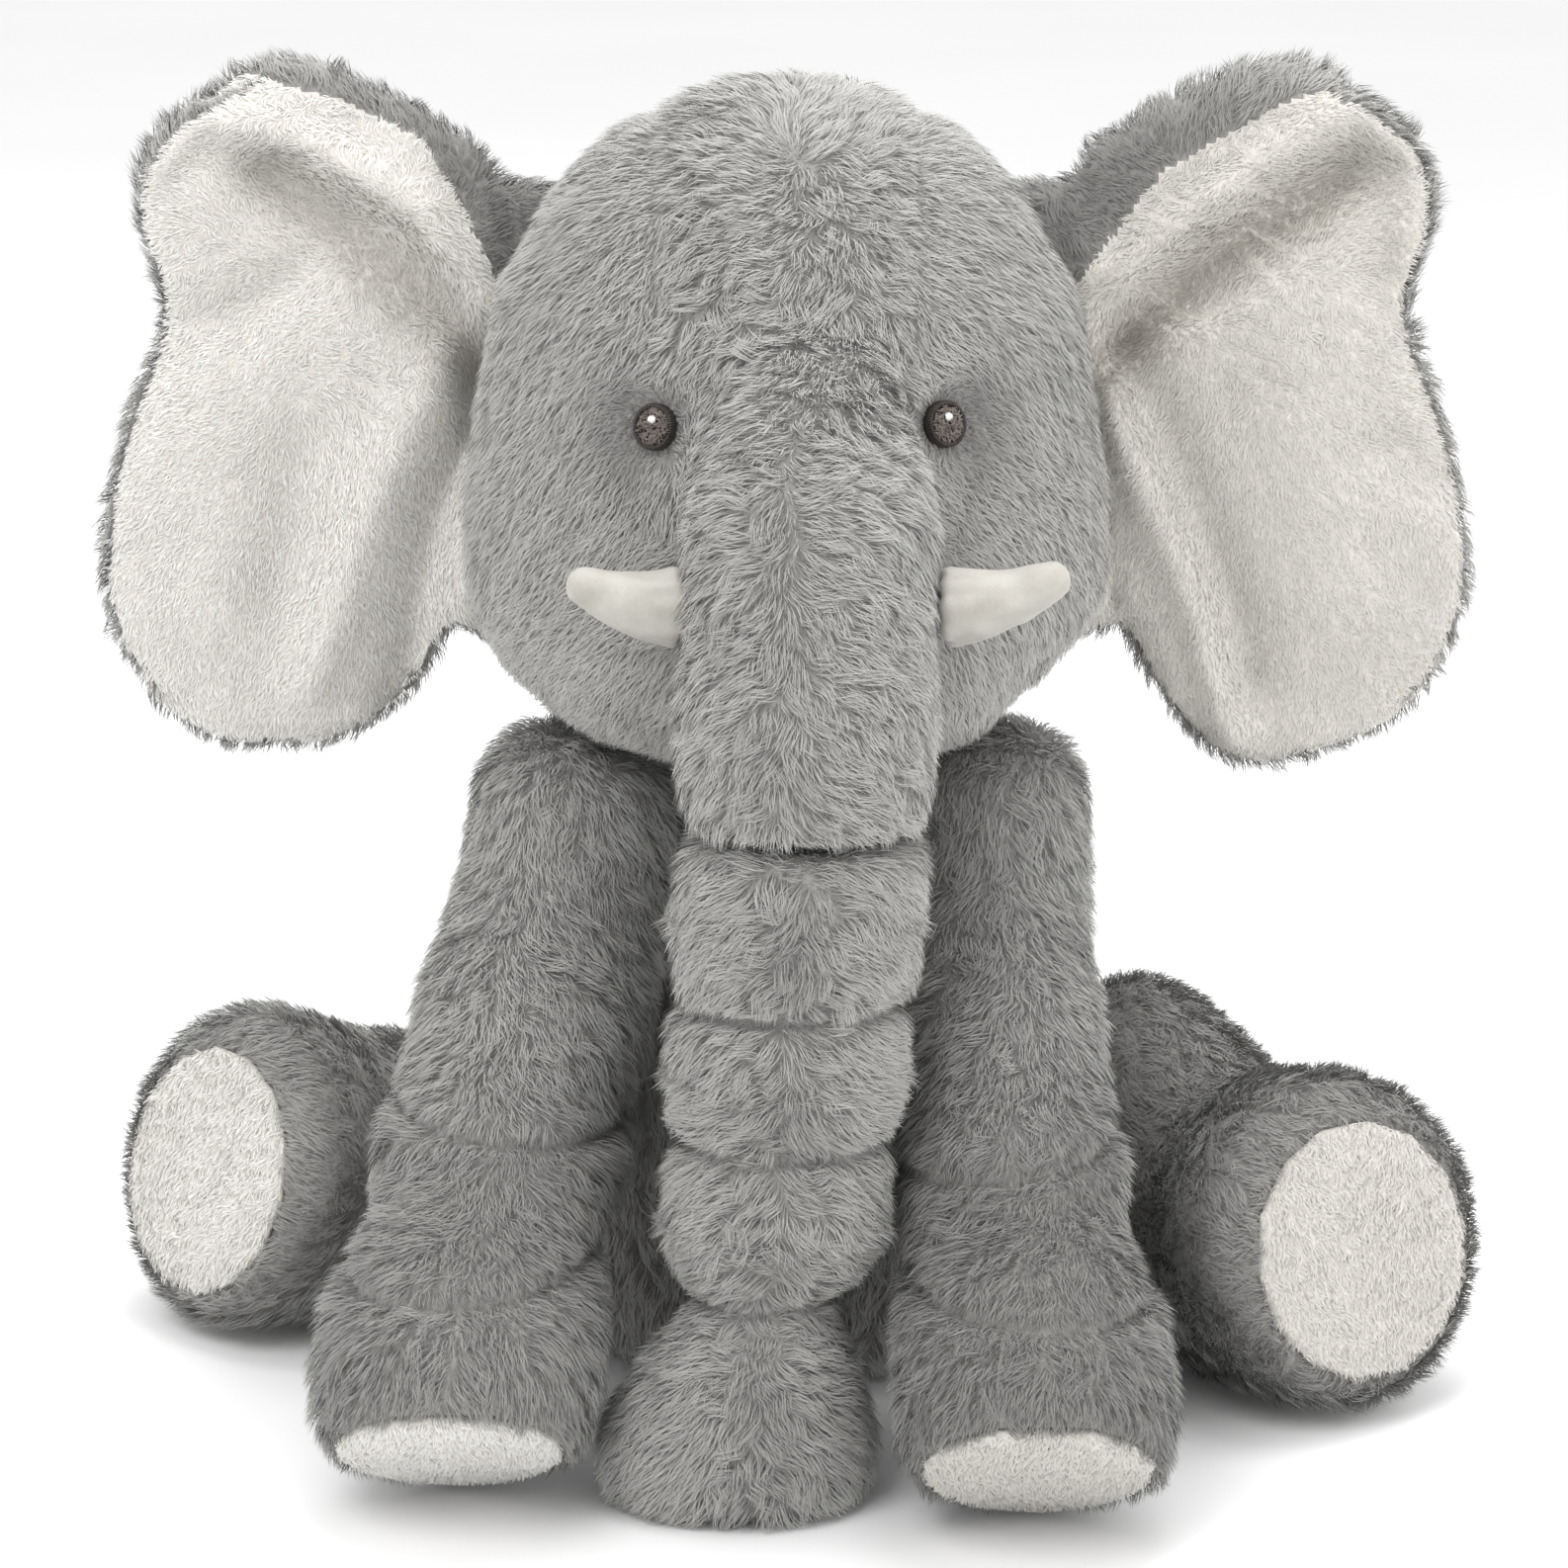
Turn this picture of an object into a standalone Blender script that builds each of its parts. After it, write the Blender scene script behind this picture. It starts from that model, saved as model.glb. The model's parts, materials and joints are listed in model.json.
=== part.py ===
"""Seated stuffed elephant: a plush toy in sewn skins, stuffing and pads, with its folds as hinges.

Metres, +Z up, -Y is the way the elephant faces. Left (-X) and right (+X) are as someone facing it sees them.
The origin is on the underside of the flat seat panel, below the neck.
"""

import math

import bmesh
import bpy
from mathutils import Matrix, Vector

# ---- driving dimensions -------------------------------------------------------------------
SKIN = 0.0024  # backed plush fabric
GAP = 0.0004  # clearance between pieces that touch
SEAM = 0.0008  # open line between two panels of a skin
CLEAR = 0.0008  # clearance between a limb's ball and its socket
FILL = SKIN + 0.0008  # how far the stuffing lies inside the outer surface

HEAD_CENTRE = Vector((0.0005, -0.004, 0.233))  # at its widest
HEAD_HALF_WIDTH = 0.0878
HEAD_HALF_DEPTH = 0.082
HEAD_RISE = 0.132  # centre to crown
HEAD_DROP = 0.049  # centre to chin
CROWN_POWER = 2.1  # 2 is round, more is fuller
CHEEK_POWER = 3.0
GUSSET_HALF_WIDTH = 0.034
HEAD_SEGMENTS = 22
HEAD_RINGS = 13

NECK = Vector((0.0, 0.0, 0.196))  # nod axis
NECK_BALL = 0.035
NECK_CLEAR = 0.0020
NECK_OPENING_Z = 0.1880

TORSO_SEGMENTS = 20
SEAT_THICKNESS = 0.003
SEAT_EDGE = 0.0012  # height of the seat's rounded edge
SEAT_EDGE_DRAW = 0.0015
SIDE_SEAM_Y = 0.010  # the plane of the seams between front and back
STUFFING_BOTTOM = (0.0322, 0.0776, 0.0692, 0.015)  # height, half width, half depth, centre y
# Pellet bag sections: height, half width, half depth, centre y.
PELLET_TOP = 0.031
PELLET_BAG = (
    (0.0036, 0.052, 0.046, 0.016),
    (0.0105, 0.0645, 0.0575, 0.016),
    (0.0210, 0.0705, 0.0625, 0.0155),
    (0.0280, 0.0715, 0.0635, 0.015),
    (PELLET_TOP, 0.0660, 0.0580, 0.015),
)

LIMB_SEGMENTS = 14
TRUNK_SEGMENTS = 16
TRUNK_PINCH = 0.0035  # how far a fold draws the trunk in
SOLE_THICKNESS = 0.0035

EAR_LAYER = 0.0035  # back and lining
EAR_WADDING = 0.005
EAR_ROOT_RADIUS = 0.0086
EAR_FORWARD = 5.0  # degrees the ear is turned forward from straight out

# Torso sections: height, half width, half depth, centre y.
TORSO = (
    (0.0034, 0.058, 0.052, 0.016),
    (0.010, 0.069, 0.062, 0.016),
    (0.028, 0.0775, 0.069, 0.015),
    (0.055, 0.079, 0.070, 0.014),
    (0.085, 0.0735, 0.065, 0.012),
    (0.115, 0.0640, 0.0575, 0.009),
    (0.142, 0.0520, 0.0475, 0.006),
    (0.163, 0.0420, 0.0400, 0.003),
    (0.177, 0.0335, 0.0335, 0.001),
)

# Trunk: fold height, centre x, centre y, half width at the fold.
TRUNK_FOLDS = (
    (0.1855, 0.0062, -0.111, 0.0290),
    (0.1395, 0.0020, -0.112, 0.0285),
    (0.1020, 0.0000, -0.113, 0.0270),
    (0.0585, -0.0055, -0.115, 0.0195),
)
# Trunk segments below the root: half width and centre x at mid-height, half depth there.
TRUNK_MIDDLES = (
    (0.0322, 0.0035, 0.0275),
    (0.0308, 0.0005, 0.0265),
    (0.0292, -0.0025, 0.0255),
)
TRUNK_TIP = (0.0335, -0.0115, 0.0270)
# Trunk root above the first fold: height, centre x, centre y, half width, half depth.
TRUNK_ROOT = (
    (0.296, 0.0075, -0.066, 0.0200, 0.0160),
    (0.280, 0.0078, -0.080, 0.0265, 0.0245),
    (0.260, 0.0075, -0.094, 0.0325, 0.0295),
    (0.237, 0.0065, -0.105, 0.0315, 0.0282),
    (0.216, 0.0060, -0.110, 0.0332, 0.0292),
    (0.199, 0.0060, -0.111, 0.0320, 0.0275),
)
TRUNK_TIP_Z = 0.0010
FOLD_DEPTH_SHARE = 0.84  # half depth over half width at a fold
TRUNK_TIP_AHEAD = 0.004  # how far the tip's end lies ahead of its fold
TRUNK_TIP_DRAW = (0.004, 0.003)  # how far the end is drawn in from the flare, across and in depth
TIP_FLARE_SHARE = 0.68  # where the tip is widest, as a share of its height
SHOULDER_SHARE = 0.42  # how near a segment's middle its shoulder sections lie
SEGMENT_FULLNESS = 0.72  # how full a segment already is at its shoulder sections
TIP_FULLNESS = 0.55

# Front legs: shoulder, then sections as centre, half width, half depth.
SHOULDER_BALL = 0.0275
SHOULDER_SOCKET = 0.0335
FRONT_LEGS = {
    "left": {
        "shoulder": Vector((-0.0595, -0.024, 0.150)),
        "upper": (
            (Vector((-0.064, -0.041, 0.132)), 0.0295, 0.0290),
            (Vector((-0.069, -0.057, 0.114)), 0.0318, 0.0310),
            (Vector((-0.073, -0.069, 0.100)), 0.0300, 0.0290),
            (Vector((-0.077, -0.083, 0.084)), 0.0335, 0.0320),
            (Vector((-0.0795, -0.0965, 0.0690)), 0.0290, 0.0280),
        ),
        "foot": (
            (Vector((-0.0798, -0.0969, 0.0685)), 0.0290, 0.0280),
            (Vector((-0.084, -0.110, 0.0530)), 0.0365, 0.0360),
            (Vector((-0.0865, -0.1225, 0.0370)), 0.0375, 0.0380),
        ),
        "sole": (Vector((-0.088, -0.134, 0.0213)), 0.0340, 38.0),
    },
    "right": {
        "shoulder": Vector((0.0560, -0.024, 0.150)),
        "upper": (
            (Vector((0.0545, -0.045, 0.131)), 0.0285, 0.0290),
            (Vector((0.0555, -0.063, 0.113)), 0.0308, 0.0310),
            (Vector((0.0570, -0.078, 0.0985)), 0.0290, 0.0290),
            (Vector((0.0590, -0.094, 0.0835)), 0.0325, 0.0320),
            (Vector((0.0612, -0.109, 0.0690)), 0.0285, 0.0280),
        ),
        "foot": (
            (Vector((0.0613, -0.1095, 0.0685)), 0.0285, 0.0280),
            (Vector((0.0640, -0.124, 0.0545)), 0.0350, 0.0360),
            (Vector((0.0655, -0.138, 0.0385)), 0.0360, 0.0380),
        ),
        "sole": (Vector((0.0660, -0.151, 0.0230)), 0.0340, 42.0),
    },
}

# Hind legs: hip, the way the leg leaves it and the way the foot points (degrees out from ahead), length.
HIP_BALL = 0.033
HIP_SOCKET = 0.0395
HIND_LEGS = {
    "left": {"hip": Vector((-0.0855, 0.0480, 0.0400)), "turn": -78.0, "end_turn": -48.0, "length": 0.095},
    "right": {"hip": Vector((0.0890, 0.0205, 0.0400)), "turn": 52.0, "end_turn": 32.0, "length": 0.108},
}
HIND_LIFT = 0.010  # how far the leg's middle line curves up by its end
# Share of the length, half size there.
HIND_SECTIONS = (
    (0.26, 0.0375),
    (0.52, 0.0405),
    (0.78, 0.0440),
    (0.93, 0.0435),
)
HIND_SOLE_RADIUS = 0.0395

# Ear outline, as level distance out from the root line, and height.
EAR_OUTLINE = (
    (0.0095, 0.218),
    (0.0095, 0.318),
    (0.022, 0.3395),
    (0.050, 0.3565),
    (0.077, 0.3650),
    (0.1000, 0.3530),
    (0.1110, 0.3315),
    (0.0980, 0.2980),
    (0.1030, 0.2700),
    (0.1055, 0.2380),
    (0.0970, 0.2060),
    (0.0740, 0.1830),
    (0.0460, 0.1768),
    (0.0180, 0.1895),
)
EARS = {
    "left": {"top": Vector((-0.0670, 0.020, 0.318)), "foot": Vector((-0.0855, 0.018, 0.218))},
    "right": {"top": Vector((0.0680, 0.020, 0.318)), "foot": Vector((0.0865, 0.018, 0.218))},
}

EYE_HALF = Vector((0.0058, 0.0011, 0.0066))
EYE_RIM = 0.0011
GLINT_HALF = Vector((0.0013, 0.0004, 0.0011))
GLINT_UP = 0.0026  # the highlight's height above the eye's centre
GLINT_PROUD = 0.0002
THREAD_STEPS = 14
THREAD_SIDES = 6
EYES = {"left": (-0.0340, 0.2840), "right": (0.0425, 0.2840)}

TUSKS = {
    "left": (
        Vector((-0.0278, -0.098, 0.2418)),
        Vector((-0.0400, -0.1010, 0.2418)),
        Vector((-0.0508, -0.1020, 0.2480)),
    ),
    "right": (
        Vector((0.0420, -0.098, 0.2418)),
        Vector((0.0560, -0.1000, 0.2420)),
        Vector((0.0688, -0.1000, 0.2490)),
    ),
}
TUSK_ROOT = 0.0100
TUSK_TIP = 0.0050

TAIL_ROOT = Vector((0.0, 0.0880, 0.070))
TAIL_END = Vector((0.0, 0.0990, 0.020))
TAIL_RADIUS = 0.0055
TAIL_SEGMENTS = 10
# Share of the tail's length, share of its radius there.
TAIL_CORD = ((0.0, 0.7), (0.06, 0.95), (0.35, 1.0), (0.70, 0.8))
TAIL_TUFT = ((0.71, 0.8), (0.84, 1.25), (0.94, 1.0), (1.0, 0.5))

LABEL_SIZE = Vector((0.0012, 0.016, 0.020))
LABEL_CENTRE = Vector((0.0300, 0.0875, 0.0240))

COLOURS = {
    "grey_plush": ((0.30, 0.29, 0.28), 0.95),
    "cream_minky": ((0.80, 0.76, 0.68), 0.90),
    "cream_suede": ((0.78, 0.73, 0.64), 0.75),
    "stuffing": ((0.90, 0.90, 0.88), 1.00),
    "pellets": ((0.75, 0.75, 0.72), 0.60),
    "brown_thread": ((0.045, 0.028, 0.020), 0.55),
    "taupe_thread": ((0.20, 0.135, 0.095), 0.60),
    "white_thread": ((0.85, 0.85, 0.83), 0.55),
    "label_tape": ((0.85, 0.85, 0.84), 0.60),
}


# ---- scene and helpers --------------------------------------------------------------------
def clear_scene():
    for ob in list(bpy.data.objects):
        bpy.data.objects.remove(ob, do_unlink=True)
    for name in ("stuffed_elephant", "cutters"):
        old = bpy.data.collections.get(name)
        if old:
            bpy.data.collections.remove(old)


def collection(name):
    made = bpy.data.collections.new(name)
    bpy.context.scene.collection.children.link(made)
    return made


def material(slot, node):
    colour, roughness = COLOURS[slot]
    mat = bpy.data.materials.new(node)
    mat.use_nodes = True
    shader = mat.node_tree.nodes["Principled BSDF"]
    shader.inputs["Base Color"].default_value = (*colour, 1.0)
    shader.inputs["Roughness"].default_value = roughness
    shader.inputs["Metallic"].default_value = 0.0
    return mat


def place(bm, node, slot, pivot=None):
    """A named part from a mesh in world metres, with its origin on its joint's axis."""
    pivot = pivot or Vector((0, 0, 0))
    bmesh.ops.translate(bm, verts=bm.verts, vec=-pivot)
    mesh = bpy.data.meshes.new(node)
    bm.to_mesh(mesh)
    bm.free()
    ob = bpy.data.objects.new(node, mesh)
    ob.location = pivot
    if slot:
        mesh.materials.append(material(slot, node))
        parts.objects.link(ob)
    else:
        ob.hide_render = True
        ob.display_type = "WIRE"
        cutters.objects.link(ob)
    mesh.shade_smooth()
    return ob


def shell(ob, thickness=SKIN):
    """Turns an open surface into a skin of even thickness that lies inside it."""
    solid = ob.modifiers.new("skin", "SOLIDIFY")
    solid.thickness = thickness
    solid.offset = -1.0
    solid.use_even_offset = True
    solid.use_quality_normals = True
    return ob


def cut(ob, *tools):
    for tool in tools:
        boolean = ob.modifiers.new("cut_" + tool.name, "BOOLEAN")
        boolean.operation = "DIFFERENCE"
        boolean.solver = "EXACT"
        boolean.object = tool
    return ob


def slice_off(bm, point, normal, fill=False):
    """Removes what lies on the side that the normal points to."""
    geometry = bm.verts[:] + bm.edges[:] + bm.faces[:]
    found = bmesh.ops.bisect_plane(
        bm, geom=geometry, plane_co=point, plane_no=normal, clear_outer=True, dist=1e-7
    )
    if fill:
        edges = [e for e in found["geom_cut"] if isinstance(e, bmesh.types.BMEdge)]
        bmesh.ops.holes_fill(bm, edges=edges, sides=0)


def ball(centre, radius, segments=16, rings=10):
    bm = bmesh.new()
    bmesh.ops.create_uvsphere(bm, u_segments=segments, v_segments=rings, radius=radius)
    bmesh.ops.translate(bm, verts=bm.verts, vec=centre)
    return bm


def ring(centre, along, half_width, half_depth, segments, side=Vector((1, 0, 0))):
    """An ellipse of points across a path, counter-clockwise about the way the path runs.

    It starts half a step round, so that a flat facet and not a corner lies on each axis.
    """
    across = (side - along * side.dot(along)).normalized()
    other = along.cross(across)
    turns = [math.tau * (i + 0.5) / segments for i in range(segments)]
    return [
        centre + across * half_width * math.cos(a) + other * half_depth * math.sin(a) for a in turns
    ]


def loft(rings, start=False, end=False):
    """Bridges rings of points in order; start and end close it with a face."""
    bm = bmesh.new()
    loops = [[bm.verts.new(p) for p in points] for points in rings]
    for low, high in zip(loops, loops[1:]):
        for i, corner in enumerate(low):
            j = (i + 1) % len(low)
            bm.faces.new((corner, low[j], high[j], high[i]))
    if start:
        bm.faces.new(list(reversed(loops[0])))
    if end:
        bm.faces.new(loops[-1])
    return bm


def leaned(sections):
    """How much further across the path an inset reaches at each section, where the sides slope."""
    found = []
    for i, (centre, width, depth) in enumerate(sections):
        slope = 0.0
        for other in (i - 1, i + 1):
            if 0 <= other < len(sections):
                run = max((sections[other][0] - centre).length, 1e-6)
                rise = max(abs(sections[other][1] - width), abs(sections[other][2] - depth))
                slope = max(slope, rise / run)
        found.append(math.hypot(1.0, slope))
    return found


def directions(centres, last=None):
    """The way a path runs at each of its points."""
    found = []
    for i, _ in enumerate(centres):
        before = centres[max(i - 1, 0)]
        after = centres[min(i + 1, len(centres) - 1)]
        found.append((after - before).normalized())
    if last is not None:
        found[-1] = last
    return found


# ---- forms ---------------------------------------------------------------------------------
def head_form(inset=0.0, segments=HEAD_SEGMENTS, rings=HEAD_RINGS):
    """A closed egg, fuller in the cheeks and narrower at the crown."""
    bm = bmesh.new()
    bmesh.ops.create_uvsphere(bm, u_segments=segments, v_segments=rings, radius=1.0)
    for v in bm.verts:
        x, y, z = v.co
        flat = math.hypot(x, y)
        power, reach = (CROWN_POWER, HEAD_RISE) if z > 0 else (CHEEK_POWER, HEAD_DROP)
        full = max(1.0 - abs(z) ** power, 0.0) ** (1.0 / power)
        widen = full / flat if flat > 1e-6 else 1.0
        half = Vector((HEAD_HALF_WIDTH - inset, HEAD_HALF_DEPTH - inset, reach - inset))
        v.co = HEAD_CENTRE + Vector((half.x * x * widen, half.y * y * widen, half.z * z))
    return bm


def head_front(x, z):
    """The point on the front of the head's surface at this place, and the way the surface faces."""
    rise = (z - HEAD_CENTRE.z) / HEAD_RISE
    girth = (1.0 - rise**CROWN_POWER) ** (1.0 / CROWN_POWER)
    out = (x - HEAD_CENTRE.x) / HEAD_HALF_WIDTH
    depth = math.sqrt(girth * girth - out * out)
    point = Vector((x, HEAD_CENTRE.y - HEAD_HALF_DEPTH * depth, z))
    across = girth ** (CROWN_POWER - 2)
    facing = Vector(
        (
            across * out / HEAD_HALF_WIDTH,
            -across * depth / HEAD_HALF_DEPTH,
            rise ** (CROWN_POWER - 1) / HEAD_RISE,
        )
    )
    return point, facing.normalized()


def torso_rings(inset=0.0, bottom=None):
    """Rings of the pear-shaped torso from its seat to its neck."""
    sections = [(Vector((0, y, z)), w, d) for z, w, d, y in TORSO if bottom is None or z >= bottom]
    up = Vector((0, 0, 1))
    return [
        ring(centre, up, w - inset * lean, d - inset * lean, TORSO_SEGMENTS)
        for (centre, w, d), lean in zip(sections, leaned(sections))
    ]


def ball_end(centre, along, radius, segments, side):
    """Rings of the rounded end that sits in a socket, from its tip to its equator."""
    return [
        ring(
            centre - along * radius * math.cos(math.radians(a)),
            along,
            radius * math.sin(math.radians(a)),
            radius * math.sin(math.radians(a)),
            segments,
            side,
        )
        for a in (18, 42, 66, 90)
    ]


def front_leg_rings(leg, which, inset=0.0):
    """Rings of one front leg: the shoulder ball and upper leg, the foot, or both."""
    sole, sole_radius, tilt = leg["sole"]
    last = Vector((0, -math.sin(math.radians(tilt)), -math.cos(math.radians(tilt))))
    upper = list(leg["upper"])
    foot = list(leg["foot"]) + [(sole, sole_radius, sole_radius)]
    if which == "whole":
        sections = upper + foot[1:]
    elif which == "upper":
        sections = upper
    else:
        sections = foot
    centres = [c for c, _, _ in sections]
    ways = directions(centres, last if which != "upper" else None)
    if which == "foot":
        ways[0] = directions([c for c, _, _ in upper])[-1]
    rings = [
        ring(c, way, w - inset * lean, d - inset * lean, LIMB_SEGMENTS)
        for (c, w, d), way, lean in zip(sections, ways, leaned(sections))
    ]
    if which != "foot":
        start = (centres[0] - leg["shoulder"]).normalized()
        side = Vector((1, 0, 0))
        rings = ball_end(leg["shoulder"], start, SHOULDER_BALL - inset, LIMB_SEGMENTS, side) + rings
    return rings


def hind_leg_at(leg, share):
    """A point of the leg's middle line and the way the line runs there."""
    turns = (math.radians(leg["turn"]), math.radians(leg["end_turn"]))
    first, last = (Vector((math.sin(turn), -math.cos(turn), 0)) * leg["length"] for turn in turns)
    up = Vector((0, 0, HIND_LIFT))
    centre = leg["hip"] + first * (share - share**2 / 2) + last * share**2 / 2 + up * share**3
    return centre, (first * (1 - share) + last * share + up * 3 * share**2).normalized()


def hind_leg_rings(leg, inset=0.0):
    up = Vector((0, 0, 1))
    rings = ball_end(leg["hip"], hind_leg_at(leg, 0.0)[1], HIP_BALL - inset, LIMB_SEGMENTS, up)
    shares = HIND_SECTIONS + ((1.0, HIND_SOLE_RADIUS),)
    sections = [(hind_leg_at(leg, share)[0], size, size) for share, size in shares]
    for (share, size), lean in zip(shares, leaned(sections)):
        centre, way = hind_leg_at(leg, share)
        inner = size - inset * lean
        rings.append(ring(centre, way, inner, inner, LIMB_SEGMENTS, up))
    return rings


def trunk_stations(index):
    """Sections of one trunk segment from its upper fold to its lower one: z, x, y, half sizes."""
    z0, x0, y0, w0 = TRUNK_FOLDS[index]
    last = index == len(TRUNK_FOLDS) - 1
    if last:
        w, x, d = TRUNK_TIP
        z1, x1, y1 = TRUNK_TIP_Z, x, y0 - TRUNK_TIP_AHEAD
        w1, d1 = w - TRUNK_TIP_DRAW[0], d - TRUNK_TIP_DRAW[1]
        share, full = TIP_FLARE_SHARE, TIP_FULLNESS
    else:
        w, x, d = TRUNK_MIDDLES[index]
        z1, x1, y1, w1 = TRUNK_FOLDS[index + 1]
        d1 = w1 * FOLD_DEPTH_SHARE
        share, full = 0.5, SEGMENT_FULLNESS
    top = (z0 - GAP, x0, y0, w0, w0 * FOLD_DEPTH_SHARE)
    mid = (z0 + (z1 - z0) * share, x, y0 + (y1 - y0) * share, w, d)
    low = (z1 + (0.0 if last else GAP), x1, y1, w1, d1)
    near_top = tuple(a + (b - a) * full for a, b in zip(top, mid))
    near_top = (top[0] + (mid[0] - top[0]) * SHOULDER_SHARE,) + near_top[1:]
    near_low = tuple(a + (b - a) * SEGMENT_FULLNESS for a, b in zip(low, mid))
    near_low = (low[0] + (mid[0] - low[0]) * SHOULDER_SHARE,) + near_low[1:]
    return (top, near_top, mid, near_low, low)


def trunk_rings(stations, inset=0.0, end_inset=0.0, level=True):
    """Rings of one trunk segment from the top down, drawn in from the skin and from both ends.

    They lie level, or across the path and level only at the bottom.
    """
    rings = []
    down = Vector((0, 0, -1))
    sections = [(Vector((x, y, z)), w, d) for z, x, y, w, d in stations]
    ways = [down] * len(sections) if level else directions([c for c, _, _ in sections], down)
    for (centre, w, d), way, lean in zip(sections, ways, leaned(sections)):
        rings.append(ring(centre, way, w - inset * lean, d - inset * lean, TRUNK_SEGMENTS))
    for ends, way in ((rings[0], ways[0]), (rings[-1], -ways[-1])):
        ends[:] = [point + way * end_inset for point in ends]
    return rings


def trunk_root_stations():
    """The root of the trunk, from inside the face down to the first fold."""
    z1, x1, y1, w1 = TRUNK_FOLDS[0]
    return TRUNK_ROOT + ((z1 + GAP, x1, y1, w1, w1 * FOLD_DEPTH_SHARE),)


# ---- parts ---------------------------------------------------------------------------------
def make_head():
    root = trunk_rings(trunk_root_stations(), level=False)
    root_grown = trunk_rings(trunk_root_stations(), inset=-GAP, level=False)
    root_cutter = place(loft(root_grown, True, True), "cut_trunk", None)
    ear_cutters = [ear_root_solid(side, EAR_ROOT_RADIUS + GAP, "cut_ear_" + side, None) for side in EARS]
    seams = {
        "head_right_panel": ((GUSSET_HALF_WIDTH, -1), None),
        "head_left_panel": (None, (-GUSSET_HALF_WIDTH, 1)),
        "head_centre_gusset": ((-GUSSET_HALF_WIDTH + SEAM, -1), (GUSSET_HALF_WIDTH - SEAM, 1)),
    }
    for node, planes in seams.items():
        bm = head_form()
        slice_off(bm, Vector((0, 0, NECK_OPENING_Z)), Vector((0, 0, -1)))
        for plane in planes:
            if plane:
                offset, way = plane
                slice_off(bm, HEAD_CENTRE + Vector((offset, 0, 0)), Vector((way, 0, 0)))
        cut(shell(place(bm, node, "grey_plush", NECK)), root_cutter, *ear_cutters)

    bm = head_form(FILL)
    slice_off(bm, Vector((0, 0, NECK_OPENING_Z + 0.001)), Vector((0, 0, -1)), fill=True)
    stuffing = place(bm, "head_stuffing", "stuffing", NECK)
    dish = place(ball(NECK, NECK_BALL + NECK_CLEAR), "cut_neck", None)
    cut(stuffing, dish, root_cutter, *ear_cutters)

    outer = place(loft(root), "trunk_root_skin", "grey_plush", NECK)
    shell(outer)
    face = place(head_form(-GAP), "cut_face", None)
    cut(outer, face)
    inner = loft(trunk_rings(trunk_root_stations(), FILL, GAP, level=False), True, True)
    cut(place(inner, "trunk_root_stuffing", "stuffing", NECK), face)


def make_eye(side):
    x, z = EYES[side]
    point, facing = head_front(x, z)
    turn = facing.to_track_quat("-Y", "Z").to_matrix().to_4x4()
    bed = point + facing * (EYE_HALF.y + GAP)

    def seat(bm, offset):
        bmesh.ops.transform(bm, matrix=Matrix.Translation(bed + facing * offset) @ turn, verts=bm.verts)
        return bm

    pad = bmesh.new()
    bmesh.ops.create_uvsphere(pad, u_segments=12, v_segments=6, radius=1.0)
    bmesh.ops.scale(pad, vec=EYE_HALF, verts=pad.verts)
    place(seat(pad, 0.0), "eye_" + side + "_iris", "taupe_thread", NECK)

    rim = ring_of_thread(EYE_HALF.x + EYE_RIM + GAP, EYE_HALF.z + EYE_RIM + GAP, EYE_RIM)
    place(seat(rim, 0.0), "eye_" + side + "_outline", "brown_thread", NECK)

    glint = bmesh.new()
    bmesh.ops.create_uvsphere(glint, u_segments=8, v_segments=4, radius=1.0)
    bmesh.ops.scale(glint, vec=GLINT_HALF, verts=glint.verts)
    above = Vector((0.0, -EYE_HALF.y - GAP - GLINT_PROUD, GLINT_UP))
    bmesh.ops.translate(glint, verts=glint.verts, vec=above)
    place(seat(glint, 0.0), "eye_" + side + "_highlight", "white_thread", NECK)


def ring_of_thread(half_width, half_height, radius):
    """An oval ring of stitching in the XZ plane."""
    loops = []
    turns = [math.tau * k / THREAD_SIDES for k in range(THREAD_SIDES)]
    for i in range(THREAD_STEPS):
        a = math.tau * i / THREAD_STEPS
        centre = Vector((half_width * math.cos(a), 0, half_height * math.sin(a)))
        out = Vector((math.cos(a), 0, math.sin(a)))
        across = Vector((0, radius, 0))
        loops.append([centre + out * radius * math.cos(t) + across * math.sin(t) for t in turns])
    bm = loft(loops + loops[:1])
    bmesh.ops.remove_doubles(bm, verts=bm.verts, dist=1e-6)
    bmesh.ops.recalc_face_normals(bm, faces=bm.faces)
    return bm


def make_tusk(side):
    root, middle, tip = TUSKS[side]
    steps = 6
    centres, sizes = [], []
    for i in range(steps + 1):
        t = i / steps
        centres.append(root * (1 - t) ** 2 + middle * 2 * t * (1 - t) + tip * t * t)
        sizes.append(TUSK_ROOT + (TUSK_TIP - TUSK_ROOT) * t)
    ways = directions(centres)
    end = ways[-1]
    rings = [
        ring(c, way, size, size, 12, Vector((0, 0, 1))) for c, way, size in zip(centres, ways, sizes)
    ]
    for a in (35, 65):
        size = TUSK_TIP * math.cos(math.radians(a))
        centre = tip + end * TUSK_TIP * math.sin(math.radians(a))
        rings.append(ring(centre, end, size, size, 12, Vector((0, 0, 1))))
    place(loft(rings, True, True), "tusk_" + side, "cream_suede", NECK)


def ear_frame(side):
    """The ear's plane: its root line's foot, the way up along it, out from the head, and forward."""
    ear = EARS[side]
    up = (ear["top"] - ear["foot"]).normalized()
    sideways = Vector((-1 if side == "left" else 1, 0, 0))
    lean = math.radians(EAR_FORWARD)
    out = sideways * math.cos(lean) + Vector((0, -math.sin(lean), 0))
    out = (out - up * out.dot(up)).normalized()
    ahead = up.cross(out) if side == "left" else out.cross(up)
    if ahead.y > 0:
        ahead = -ahead
    return ear["foot"], up, out, ahead


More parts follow.
